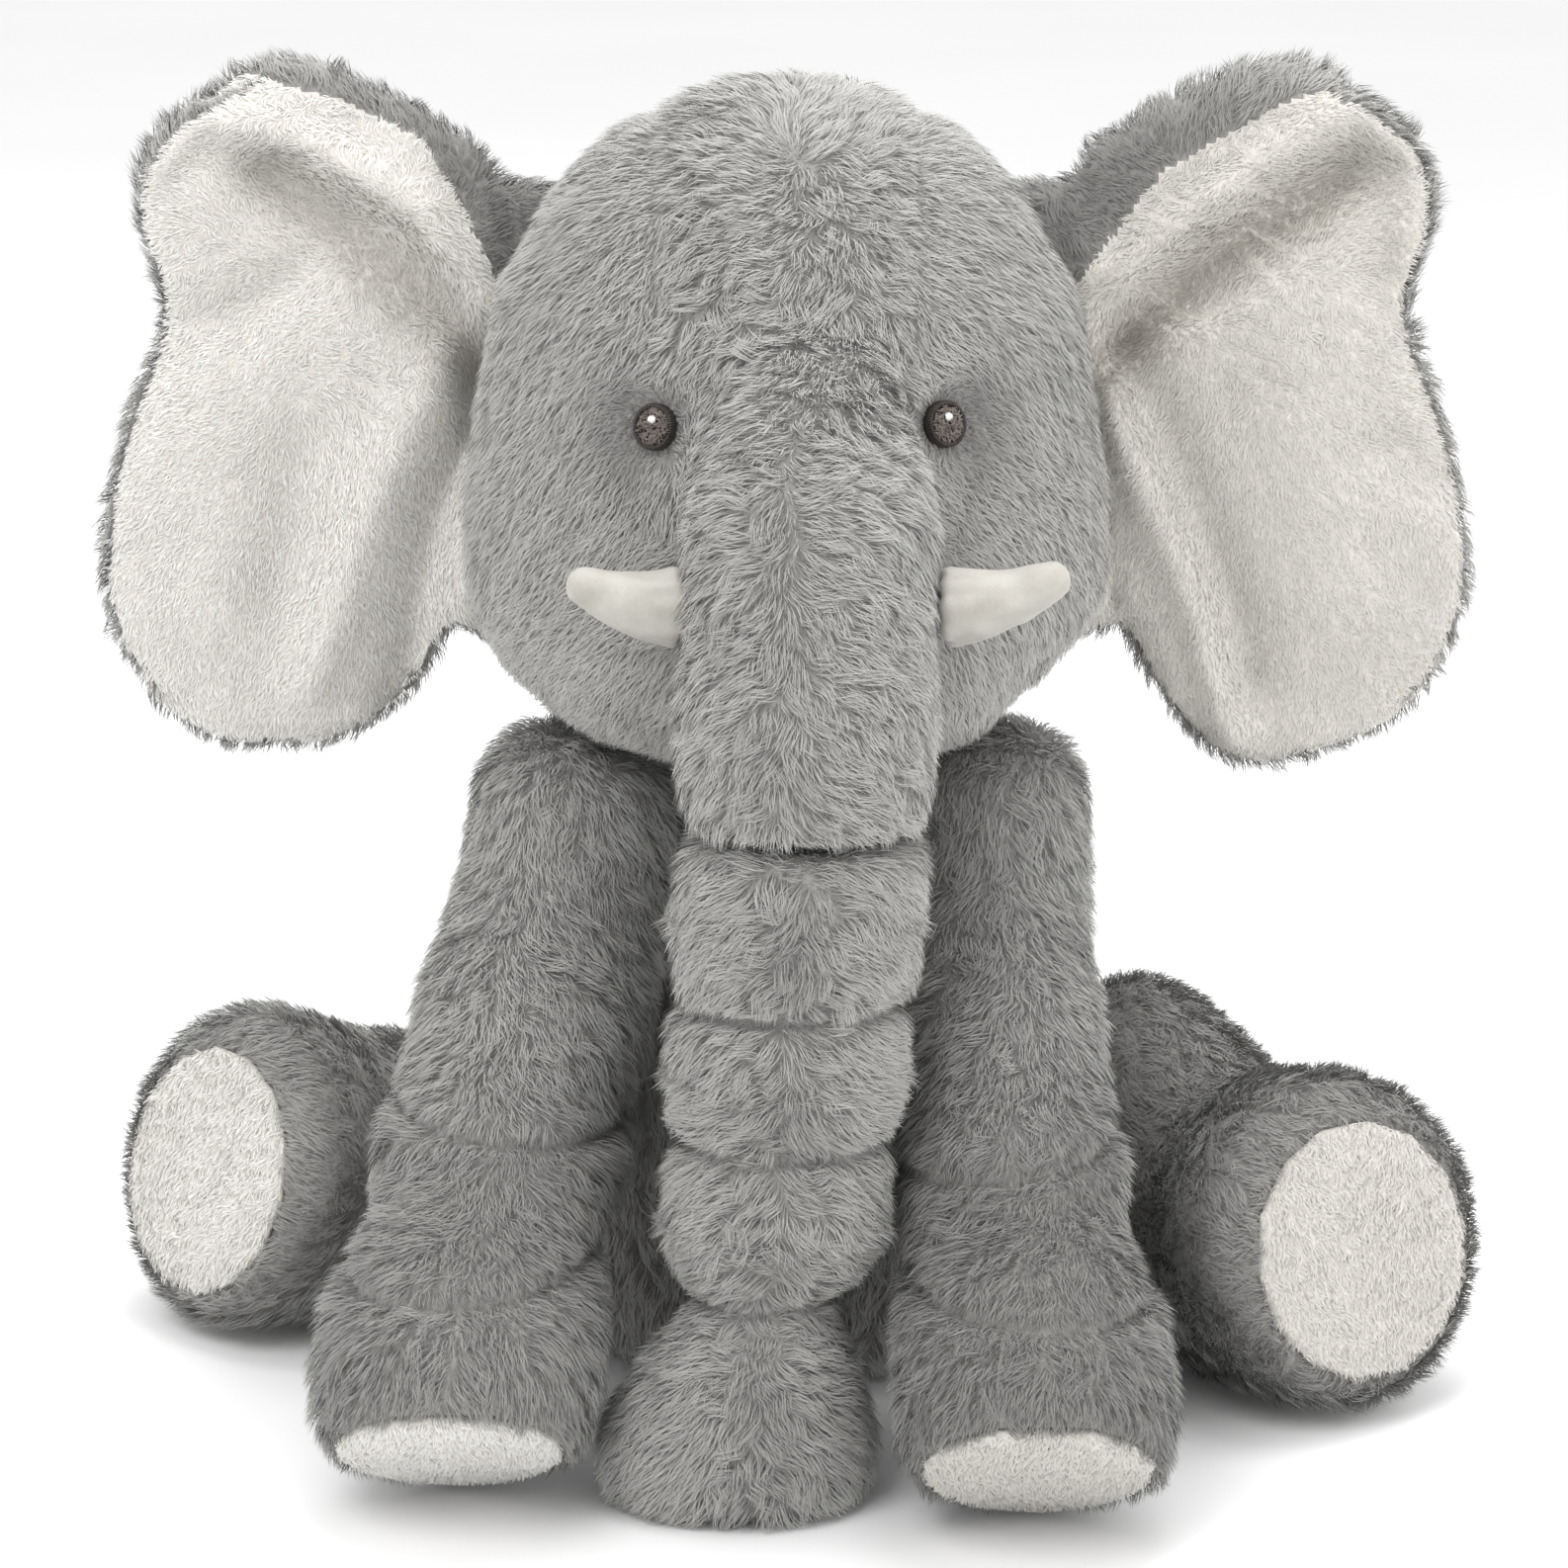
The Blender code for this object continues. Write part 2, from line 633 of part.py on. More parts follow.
def ear_root_solid(side, radius, node, slot):
    """The rolled seam along the ear's root line, which turns in a groove in the head."""
    foot, up, _, _ = ear_frame(side)
    length = (EARS[side]["top"] - foot).length
    spare = 0.0 if slot else GAP
    centres = [foot - up * spare, foot + up * (length + spare)]
    rings = [ring(c, up, radius, radius, 12) for c in centres]
    return place(loft(rings, True, True), node, slot, foot)


def ear_layer(side, node, slot, near, far, shrink):
    """One layer of the ear, between two distances in front of the ear's plane."""
    foot, up, out, ahead = ear_frame(side)
    curve = bpy.data.curves.new(node, "CURVE")
    curve.dimensions = "2D"
    curve.fill_mode = "BOTH"
    curve.extrude = (far - near) / 2
    curve.resolution_u = 3
    spline = curve.splines.new("BEZIER")
    level_out = (out - Vector((0, 0, out.z))).normalized()
    places = [up * ((z - foot.z) / up.z) + level_out * across for across, z in EAR_OUTLINE]
    centre = sum(places, Vector()) / len(places)
    spline.bezier_points.add(len(places) - 1)
    for point, at, kind in zip(spline.bezier_points, places, ["VECTOR"] * 2 + ["AUTO"] * len(places)):
        at = centre + (at - centre) * shrink
        point.co = (max(at.dot(out), EAR_ROOT_RADIUS + GAP + 0.0004), at.dot(up), 0)
        point.handle_left_type = kind
        point.handle_right_type = kind
    spline.use_cyclic_u = True
    guide = bpy.data.objects.new(node + "_outline", curve)
    cutters.objects.link(guide)
    bpy.context.view_layer.update()
    flat = bpy.data.meshes.new_from_object(guide.evaluated_get(bpy.context.evaluated_depsgraph_get()))
    bpy.data.objects.remove(guide, do_unlink=True)
    bm = bmesh.new()
    bm.from_mesh(flat)
    bpy.data.meshes.remove(flat)
    bmesh.ops.remove_doubles(bm, verts=bm.verts, dist=1e-5)
    bmesh.ops.dissolve_limit(bm, angle_limit=0.02, verts=bm.verts, edges=bm.edges)
    basis = Matrix((out, up, ahead)).transposed().to_4x4()
    middle = foot + ahead * (near + far) / 2
    bmesh.ops.transform(bm, matrix=Matrix.Translation(middle) @ basis, verts=bm.verts)
    bmesh.ops.recalc_face_normals(bm, faces=bm.faces)
    return place(bm, node, slot, foot)


def make_ear(side):
    half = EAR_WADDING / 2
    ear_root_solid(side, EAR_ROOT_RADIUS, "ear_" + side + "_root_seam", "grey_plush")
    back = (-half - GAP - EAR_LAYER, -half - GAP)
    lining = (half + GAP, half + GAP + EAR_LAYER)
    ear_layer(side, "ear_" + side + "_back", "grey_plush", *back, 1.0)
    ear_layer(side, "ear_" + side + "_wadding", "stuffing", -half, half, 0.93)
    ear_layer(side, "ear_" + side + "_lining", "cream_minky", *lining, 0.97)


def make_trunk():
    for index in range(len(TRUNK_FOLDS)):
        z, x, y, w = TRUNK_FOLDS[index]
        hinge = Vector((x, y - w * FOLD_DEPTH_SHARE, z))
        stations = trunk_stations(index)
        last = index == len(TRUNK_FOLDS) - 1
        number = str(index + 1)
        skin = loft(trunk_rings(stations), False, last)
        shell(place(skin, "trunk_" + number + "_skin", "grey_plush", hinge))
        core_stations = list(stations)
        if last:
            z_low, *others = core_stations[-1]
            core_stations[-1] = (z_low + SKIN, *others)
        core = loft(trunk_rings(core_stations, FILL, GAP), True, True)
        place(core, "trunk_" + number + "_stuffing", "stuffing", hinge)


def make_torso(limb_cutters):
    front_edge = (Vector((0, SIDE_SEAM_Y - SEAM / 2, 0)), Vector((0, 1, 0)))
    back_edge = (Vector((0, SIDE_SEAM_Y + SEAM / 2, 0)), Vector((0, -1, 0)))
    left_edge = (Vector((-SEAM / 2, 0, 0)), Vector((1, 0, 0)))
    right_edge = (Vector((SEAM / 2, 0, 0)), Vector((-1, 0, 0)))
    panels = {
        "torso_front_panel": (front_edge,),
        "torso_back_left_panel": (back_edge, left_edge),
        "torso_back_right_panel": (back_edge, right_edge),
    }
    for node, planes in panels.items():
        bm = loft(torso_rings())
        for point, way in planes:
            slice_off(bm, point, way)
        cut(shell(place(bm, node, "grey_plush")), *limb_cutters)

    rings = torso_rings(FILL, bottom=PELLET_TOP)
    z, w, d, y = STUFFING_BOTTOM
    up = Vector((0, 0, 1))
    rings.insert(0, ring(Vector((0, y, z)), up, w - FILL, d - FILL, TORSO_SEGMENTS))
    stuffing = place(loft(rings, True, True), "torso_stuffing", "stuffing")
    neck = place(ball(NECK, NECK_BALL, 16, 12), "join_neck", None)
    union = stuffing.modifiers.new("neck", "BOOLEAN")
    union.operation = "UNION"
    union.solver = "EXACT"
    union.object = neck
    cut(stuffing, *limb_cutters)

    low = [ring(Vector((0, y, z)), up, w, d, TORSO_SEGMENTS) for z, w, d, y in PELLET_BAG]
    cut(place(loft(low, True, True), "seat_pellet_bag", "pellets"), *limb_cutters)

    z, w, d, y = TORSO[0]
    seat = [ring(Vector((0, y, h)), up, w + grow, d + grow, TORSO_SEGMENTS) for h, grow in (
        (0.0, -SEAT_EDGE_DRAW),
        (SEAT_EDGE, 0.0),
        (SEAT_THICKNESS, 0.0),
    )]
    place(loft(seat, True, True), "seat_panel", "grey_plush")


def sole_rings(centre, way, radius, side):
    """A domed pad that closes the end of a foot."""
    edge = radius - SKIN - GAP
    return [
        ring(centre - way * SOLE_THICKNESS, way, edge - 0.0010, edge - 0.0010, LIMB_SEGMENTS, side),
        ring(centre - way * 0.0004, way, edge, edge, LIMB_SEGMENTS, side),
        ring(centre + way * 0.0004, way, edge - 0.0022, edge - 0.0022, LIMB_SEGMENTS, side),
    ]


def make_front_leg(side):
    leg = FRONT_LEGS[side]
    pivot = leg["shoulder"]
    name = "front_leg_" + side
    shell(place(loft(front_leg_rings(leg, "upper"), True), name + "_skin", "grey_plush", pivot))
    shell(place(loft(front_leg_rings(leg, "foot")), name + "_foot_skin", "grey_plush", pivot))
    sole, radius, tilt = leg["sole"]
    way = Vector((0, -math.sin(math.radians(tilt)), -math.cos(math.radians(tilt))))
    pad = sole_rings(sole, way, radius, Vector((1, 0, 0)))
    place(loft(pad, True, True), name + "_sole", "cream_minky", pivot)
    rings = front_leg_rings(leg, "whole", FILL)
    inner = radius - FILL - 0.001
    rings[-1] = ring(sole - way * (SOLE_THICKNESS + GAP), way, inner, inner, LIMB_SEGMENTS)
    place(loft(rings, True, True), name + "_stuffing", "stuffing", pivot)


def make_hind_leg(side):
    leg = HIND_LEGS[side]
    pivot = leg["hip"]
    name = "hind_leg_" + side
    shell(place(loft(hind_leg_rings(leg), True), name + "_skin", "grey_plush", pivot))
    end, along = hind_leg_at(leg, 1.0)
    up = Vector((0, 0, 1))
    pad = sole_rings(end, along, HIND_SOLE_RADIUS, up)
    place(loft(pad, True, True), name + "_sole", "cream_minky", pivot)
    rings = hind_leg_rings(leg, FILL)
    inner = HIND_SOLE_RADIUS - FILL - 0.001
    rings[-1] = ring(end - along * (SOLE_THICKNESS + GAP), along, inner, inner, LIMB_SEGMENTS, up)
    place(loft(rings, True, True), name + "_stuffing", "stuffing", pivot)


def limb_cutters():
    """The limbs' outer forms, grown by the clearance, which hollow the torso where they meet it."""
    made = []
    for side in ("left", "right"):
        front = loft(front_leg_rings(FRONT_LEGS[side], "whole", -CLEAR), True, True)
        made.append(place(front, "cut_front_leg_" + side, None))
        hind = loft(hind_leg_rings(HIND_LEGS[side], -CLEAR), True, True)
        made.append(place(hind, "cut_hind_leg_" + side, None))
        shoulder = ball(FRONT_LEGS[side]["shoulder"], SHOULDER_SOCKET)
        made.append(place(shoulder, "cut_shoulder_" + side, None))
        made.append(place(ball(HIND_LEGS[side]["hip"], HIP_SOCKET), "cut_hip_" + side, None))
    return made


def make_tail():
    way = TAIL_END - TAIL_ROOT
    side = Vector((1, 0, 0))
    for node, stations in (("tail_skin", TAIL_CORD), ("tail_tuft", TAIL_TUFT)):
        rings = []
        for share, wide in stations:
            radius = TAIL_RADIUS * wide
            rings.append(ring(TAIL_ROOT + way * share, way.normalized(), radius, radius, TAIL_SEGMENTS, side))
        place(loft(rings, True, True), node, "grey_plush", TAIL_ROOT)


def make_label():
    """A blank folded tape sewn into the back seam beside the tail."""
    bm = bmesh.new()
    bmesh.ops.create_cube(bm, size=1.0)
    bmesh.ops.scale(bm, vec=LABEL_SIZE, verts=bm.verts)
    bmesh.ops.translate(bm, verts=bm.verts, vec=LABEL_CENTRE)
    place(bm, "care_label", "label_tape")


clear_scene()
parts = collection("stuffed_elephant")
cutters = collection("cutters")
make_head()
make_trunk()
make_torso(limb_cutters())
make_tail()
make_label()
for name in ("left", "right"):
    make_eye(name)
    make_tusk(name)
    make_ear(name)
    make_front_leg(name)
    make_hind_leg(name)
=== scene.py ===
"""The looks of a seated stuffed elephant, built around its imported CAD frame.

Each stuffed part is a padded skin grown from its CAD solids, and on the skin stands its pile: thousands of
tapered tufts that lean, clump and curl as plush does. Left and right are as someone facing the toy sees them.
"""

import json
import math

import bmesh
import bpy
import numpy as np
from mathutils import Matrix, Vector

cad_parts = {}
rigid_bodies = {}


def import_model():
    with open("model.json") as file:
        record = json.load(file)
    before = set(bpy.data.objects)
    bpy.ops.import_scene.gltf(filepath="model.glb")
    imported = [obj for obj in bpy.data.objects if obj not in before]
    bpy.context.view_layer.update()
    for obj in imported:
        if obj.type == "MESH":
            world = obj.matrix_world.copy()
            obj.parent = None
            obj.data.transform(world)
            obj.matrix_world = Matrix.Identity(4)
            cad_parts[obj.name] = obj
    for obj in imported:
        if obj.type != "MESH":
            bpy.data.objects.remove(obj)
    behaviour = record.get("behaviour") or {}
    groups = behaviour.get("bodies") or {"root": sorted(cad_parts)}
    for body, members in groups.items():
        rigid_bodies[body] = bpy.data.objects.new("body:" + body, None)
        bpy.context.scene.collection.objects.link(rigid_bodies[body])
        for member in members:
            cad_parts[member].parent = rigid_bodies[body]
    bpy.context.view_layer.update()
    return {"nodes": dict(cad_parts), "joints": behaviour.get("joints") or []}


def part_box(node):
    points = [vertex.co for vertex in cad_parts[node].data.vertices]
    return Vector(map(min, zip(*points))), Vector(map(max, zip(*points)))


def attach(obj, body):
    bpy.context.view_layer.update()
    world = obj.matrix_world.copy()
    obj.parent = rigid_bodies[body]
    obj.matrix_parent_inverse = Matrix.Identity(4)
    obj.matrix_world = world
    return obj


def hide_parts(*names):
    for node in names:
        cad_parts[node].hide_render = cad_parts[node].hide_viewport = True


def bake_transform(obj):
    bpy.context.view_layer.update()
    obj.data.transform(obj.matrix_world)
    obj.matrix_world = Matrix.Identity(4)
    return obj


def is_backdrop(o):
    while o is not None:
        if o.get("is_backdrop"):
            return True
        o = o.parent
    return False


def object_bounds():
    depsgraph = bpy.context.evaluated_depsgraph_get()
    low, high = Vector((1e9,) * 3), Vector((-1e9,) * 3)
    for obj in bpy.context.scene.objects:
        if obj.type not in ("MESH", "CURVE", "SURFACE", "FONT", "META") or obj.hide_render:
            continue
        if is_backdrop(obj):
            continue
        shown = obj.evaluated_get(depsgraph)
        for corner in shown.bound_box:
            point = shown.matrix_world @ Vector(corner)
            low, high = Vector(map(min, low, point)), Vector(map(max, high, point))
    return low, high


MM = 0.001
FLOOR_GAP = 0.4 * MM

for leftover in list(bpy.data.objects):
    bpy.data.objects.remove(leftover)
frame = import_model()
scene = bpy.context.scene
nodes = frame["nodes"]
joints = {joint["name"]: joint for joint in frame["joints"]}
SIDES = {"left": -1.0, "right": 1.0}


# ---------------------------------------------------------------- small helpers

def unit(v):
    return v / np.maximum(np.linalg.norm(v, axis=-1, keepdims=True), 1e-9)


def smooth(low, high, value):
    t = np.clip((value - low) / (high - low), 0, 1)
    return t * t * (3 - 2 * t)


def bell(distance, width):
    """1 at no distance, falling away over width."""
    return np.exp(-(distance / width) ** 2)


def box(node):
    low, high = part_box(node)
    return np.array(low), np.array(high)


def points_of(mesh):
    co = np.empty(len(mesh.vertices) * 3, np.float32)
    mesh.vertices.foreach_get("co", co)
    return co.reshape(-1, 3).astype(float)


def normals_of(mesh):
    n = np.empty(len(mesh.vertices) * 3, np.float32)
    mesh.vertices.foreach_get("normal", n)
    return n.reshape(-1, 3).astype(float)


def move_points(ob, co):
    ob.data.vertices.foreach_set("co", co.astype(np.float32).ravel())
    ob.data.update()


def link(ob):
    scene.collection.objects.link(ob)
    return ob


def to_line(p, a, b):
    """Distance from each point to the segment a-b."""
    a, b = np.array(a, float), np.array(b, float)
    t = np.clip(((p - a) @ (b - a)) / ((b - a) @ (b - a)), 0, 1)
    return np.linalg.norm(p - a - t[:, None] * (b - a), axis=1)


def to_path(p, path):
    return np.min([to_line(p, a, b) for a, b in zip(path, path[1:])], axis=0)


def swirl(p, wavelength, phase=0.0):
    """A slow vector field, to keep combed pile from lying all one way."""
    k = 2 * math.pi / wavelength
    q = p @ np.array([[0.8, 0.5, -0.3], [-0.4, 0.9, 0.6], [0.5, -0.3, 0.9]]) * k + phase
    return np.stack([
        np.sin(q[:, 0]) + 0.6 * np.sin(1.7 * q[:, 1] + 1.3),
        np.sin(q[:, 1] + 2.1) + 0.6 * np.sin(1.9 * q[:, 2] + 0.4),
        np.sin(q[:, 2] + 4.0) + 0.6 * np.sin(1.6 * q[:, 0] + 2.7),
    ], axis=1) / 1.6


def dress(ob, body):
    """Hangs a piece on its body."""
    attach(ob, body)


def add_shade(mesh, values):
    shade = mesh.attributes.new("shade", "FLOAT", "POINT")
    shade.data.foreach_set("value", np.asarray(values, np.float32))


# ---------------------------------------------------------------- materials

def shader(name):
    """A material, its tree, and a function that sets or links the shader's sockets by name."""
    mat = bpy.data.materials.new(name)
    mat.use_nodes = True
    tree = mat.node_tree

    def plug(**values):
        for key, value in values.items():
            socket = tree.nodes["Principled BSDF"].inputs[key.replace("_", " ")]
            if isinstance(value, float):
                socket.default_value = value
            else:
                tree.links.new(value, socket)

    return mat, tree, plug


def node(tree, kind, **values):
    made = tree.nodes.new(kind)
    for key, value in values.items():
        if hasattr(made, key):
            setattr(made, key, value)
        else:
            made.inputs[key].default_value = value
    return made


def ramp(tree, source, stops):
    made = tree.nodes.new("ShaderNodeValToRGB")
    elements = made.color_ramp.elements
    while len(elements) < len(stops):
        elements.new(0.5)
    for element, (position, colour) in zip(elements, stops):
        element.position = position
        element.color = (*colour, 1) if len(colour) == 3 else colour
    tree.links.new(source, made.inputs["Fac"])
    return made.outputs["Color"]


def grey(v):
    return (v, v, v)


def mix(tree, mode, factor, a, b):
    made = tree.nodes.new("ShaderNodeMix")
    made.data_type = "RGBA"
    made.blend_type = mode
    for socket, value in ((made.inputs[0], factor), (made.inputs[6], a), (made.inputs[7], b)):
        if isinstance(value, (int, float)):
            socket.default_value = value
        elif isinstance(value, tuple):
            socket.default_value = (*value, 1)
        else:
            tree.links.new(value, socket)
    return made.outputs[2]


def noise(tree, scale, detail=3.0, stretch=(1, 1, 1), roughness=0.5):
    coord = tree.nodes.new("ShaderNodeTexCoord")
    mapping = tree.nodes.new("ShaderNodeMapping")
    mapping.inputs["Scale"].default_value = stretch
    tree.links.new(coord.outputs["Object"], mapping.inputs["Vector"])
    made = node(tree, "ShaderNodeTexNoise", Scale=scale, Detail=detail, Roughness=roughness)
    tree.links.new(mapping.outputs["Vector"], made.inputs["Vector"])
    return made.outputs["Fac"]


def bump(tree, height, strength, distance):
    made = node(tree, "ShaderNodeBump", Strength=strength, Distance=distance)
    tree.links.new(height, made.inputs["Height"])
    return made.outputs["Normal"]


def pile_material(name, root, middle, tip, patch, sheen, soot=(0.035, 0.032, 0.03)):
    """Pile: dark at the root, pale at the tip, uneven from tuft to tuft and from patch to patch."""
    mat, tree, plug = shader(name)
    along = node(tree, "ShaderNodeAttribute", attribute_name="tip").outputs["Fac"]
    shade = node(tree, "ShaderNodeAttribute", attribute_name="shade").outputs["Fac"]
    dark = node(tree, "ShaderNodeAttribute", attribute_name="soot").outputs["Fac"]
    colour = ramp(tree, along, [(0.0, root), (0.45, middle), (1.0, tip)])
    for tone in (
        ramp(tree, shade, [(0.0, grey(0.90)), (1.0, grey(1.05))]),
        ramp(tree, noise(tree, 70, 3), [(0.3, grey(patch)), (0.7, grey(1.0))]),
        ramp(tree, noise(tree, 420, 2), [(0.3, grey(0.95)), (0.7, grey(1.03))]),
    ):
        colour = mix(tree, "MULTIPLY", 1.0, colour, tone)
    # mixed towards the dark colour where the style darkens a blade: airbrush, and painted shade in creases,
    # hollows, near the head and on the shaded right side
    colour = mix(tree, "MIX", dark, colour, soot)
    rough = ramp(tree, noise(tree, 300, 2), [(0.3, grey(0.78)), (0.7, grey(0.95))])
    plug(Base_Color=colour, Roughness=rough, Sheen_Weight=sheen, Sheen_Roughness=0.45,
         Specular_IOR_Level=0.18)
    return mat


def backing_material(name, low, high, scale=700):
    """The knitted backing and the matted foot of the pile, seen between the tufts."""
    mat, tree, plug = shader(name)
    fibres = noise(tree, scale, 4, (1, 1, 0.45), 0.65)
    patches = ramp(tree, noise(tree, 60, 2), [(0.3, grey(0.85)), (0.7, grey(1.0))])
    colour = mix(tree, "MULTIPLY", 1.0, ramp(tree, fibres, [(0.3, low), (0.7, high)]), patches)
    rough = ramp(tree, fibres, [(0.3, grey(0.8)), (0.7, grey(0.98))])
    plug(Base_Color=colour, Roughness=rough, Normal=bump(tree, fibres, 0.7, 1.2 * MM),
         Sheen_Weight=0.3, Specular_IOR_Level=0.15)
    return mat


def suede_material():
    """Short-napped cream suede cloth: smooth, with a soft sheen and faint rubbed patches."""
    mat, tree, plug = shader("cream_suede")
    nap = noise(tree, 1500, 3, (1, 1, 0.5), 0.6)
    rubbed = noise(tree, 110, 3)
    colour = mix(
        tree, "MULTIPLY", 1.0,
        ramp(tree, rubbed, [(0.3, (0.37, 0.352, 0.315)), (0.7, (0.47, 0.452, 0.415))]),
        ramp(tree, nap, [(0.3, grey(0.93)), (0.7, grey(1.0))]),
    )
    rough = ramp(tree, rubbed, [(0.3, grey(0.48)), (0.7, grey(0.62))])
    plug(Base_Color=colour, Roughness=rough, Normal=bump(tree, nap, 0.25, 0.3 * MM), Sheen_Weight=0.35)
    return mat


def thread_material(name, low, high):
    """Embroidery thread: twisted, a little glossy, each strand its own shade."""
    mat, tree, plug = shader(name)
    shade = node(tree, "ShaderNodeAttribute", attribute_name="shade").outputs["Fac"]
    twist = noise(tree, 2600, 2)
    colour = mix(
        tree, "MULTIPLY", 1.0, ramp(tree, shade, [(0.0, low), (1.0, high)]),
        ramp(tree, twist, [(0.35, grey(0.8)), (0.65, grey(1.0))]),
    )
    rough = ramp(tree, twist, [(0.3, grey(0.35)), (0.7, grey(0.5))])
    plug(Base_Color=colour, Roughness=rough, Normal=bump(tree, twist, 0.4, 0.2 * MM))
    return mat


def tape_material():
    """Woven satin tape of the care label."""
    mat, tree, plug = shader("label_tape")
    weave = noise(tree, 1800, 2, (1, 1, 0.2))
    plug(Base_Color=ramp(tree, weave, [(0.3, grey(0.72)), (0.7, grey(0.85))]),
         Roughness=ramp(tree, weave, [(0.3, grey(0.35)), (0.7, grey(0.5))]),
         Normal=bump(tree, weave, 0.3, 0.2 * MM))
    return mat


GREY_PILE = pile_material(
    "grey_plush_pile", (0.32, 0.312, 0.296), (0.45, 0.443, 0.424), (0.55, 0.544, 0.523), 0.92, 0.22)
CREAM_PILE = pile_material(
    "cream_minky_pile", (0.74, 0.715, 0.67), (0.85, 0.835, 0.80), (0.91, 0.90, 0.88), 0.96, 0.2,
    soot=(0.44, 0.41, 0.365))
GREY_BACKING = backing_material("grey_plush_backing", (0.20, 0.195, 0.185), (0.36, 0.353, 0.338))
CREAM_BACKING = backing_material("cream_minky_backing", (0.66, 0.63, 0.58), (0.80, 0.78, 0.74))
SUEDE = suede_material()
BROWN = thread_material("brown_thread", (0.018, 0.014, 0.012), (0.042, 0.033, 0.028))
TAUPE = thread_material("taupe_thread", (0.07, 0.055, 0.048), (0.19, 0.155, 0.14))
WHITE = thread_material("white_thread", (0.75, 0.75, 0.75), (0.9, 0.9, 0.9))
TAPE = tape_material()


# ---------------------------------------------------------------- padded skins

def settle(ob):
    """Applies the modifiers of an object to its mesh."""
    graph = bpy.context.evaluated_depsgraph_get()
    mesh = bpy.data.meshes.new_from_object(ob.evaluated_get(graph))
    ob.modifiers.clear()
    ob.data = mesh
    mesh.name = ob.name


def keep_outside(ob):
    """Keeps the largest closed surface and drops any sealed inside it."""
    bm = bmesh.new()
    bm.from_mesh(ob.data)
    left = set(bm.verts)
    groups = []
    while left:
        seed = left.pop()
        group, front = {seed}, [seed]
        while front:
            for edge in front.pop().link_edges:
                for vert in edge.verts:
                    if vert in left:
                        left.discard(vert)
                        group.add(vert)
                        front.append(vert)
        groups.append(group)
    largest = max(groups, key=len)
    bmesh.ops.delete(bm, geom=[v for v in bm.verts if v not in largest], context="VERTS")
    bm.to_mesh(ob.data)
    bm.free()


def skin_from(name, parts, voxel):
    """The outside of some CAD nodes as one closed mesh of even quads."""
    verts, faces, start = [], [], 0
    for part in parts:
        mesh = nodes[part].data
        verts.append(points_of(mesh))
        faces += [[start + i for i in p.vertices] for p in mesh.polygons]
        start += len(mesh.vertices)
    mesh = bpy.data.meshes.new(name)
    mesh.from_pydata(np.concatenate(verts).tolist(), [], faces)
    ob = link(bpy.data.objects.new(name, mesh))
    remesh = ob.modifiers.new("Remesh", "REMESH")
    remesh.mode = "VOXEL"
    remesh.voxel_size = voxel
    settle(ob)
    keep_outside(ob)
    relax(ob, 2)
    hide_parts(*parts)
    return ob


def relax(ob, rounds, factor=0.5):
    smoothing = ob.modifiers.new("Smooth", "SMOOTH")
    smoothing.iterations = rounds
    smoothing.factor = factor
    settle(ob)


def puff(ob, hold=None, cap=3 * MM, slack=0.6 * MM, frames=20):
    """Fills the skin: pressure swells it from a slightly smaller shape, and the held points stay put."""
    rest = points_of(ob.data)
    move_points(ob, rest - normals_of(ob.data) * slack)
    start = points_of(ob.data)
    if hold is not None:
        group = ob.vertex_groups.new(name="held")
        for index in np.nonzero(hold(rest) > 0.5)[0]:
            group.add([int(index)], 1.0, "REPLACE")
    cloth = ob.modifiers.new("Cloth", "CLOTH")
    settings = cloth.settings
    settings.quality = 4
    settings.use_pressure = True
    settings.uniform_pressure_force = 4
    settings.effector_weights.gravity = 0
    settings.tension_stiffness = 12
    settings.compression_stiffness = 12
    settings.bending_stiffness = 0.4
    if hold is not None:
        settings.vertex_group_mass = "held"
    cloth.point_cache.frame_start = 1
    cloth.point_cache.frame_end = frames
    for number in range(1, frames + 1):
        scene.frame_set(number)
    graph = bpy.context.evaluated_depsgraph_get()
    swollen = points_of(ob.evaluated_get(graph).data)
    ob.modifiers.clear()
    ob.vertex_groups.clear()
    scene.frame_set(1)
    shift = swollen - start
    length = np.linalg.norm(shift, axis=1, keepdims=True)
    move_points(ob, start + shift * np.minimum(1, cap / np.maximum(length, 1e-9)))
    relax(ob, 1)


def refine(ob):
    surface = ob.modifiers.new("Subdivision", "SUBSURF")
    surface.levels = 1
    surface.render_levels = 1
    settle(ob)
    ob.data.shade_smooth()


def carve(ob, depth):
    """Moves each point along its normal by depth(points), in metres."""
    co = points_of(ob.data)
    move_points(ob, co + normals_of(ob.data) * depth(co)[:, None])


def groove(distance, width, deep):
    return -deep * bell(distance, width)


# ---------------------------------------------------------------- pile

HALFWAY = 0.5
HALFWAY_WIDTH = 0.85
SOFT = 0.84  # how far a blade takes its shading from the skin under it
FUZZ = 0.32  # how far each blade turns from its clump, in radians
PER_BLADE = 5  # points


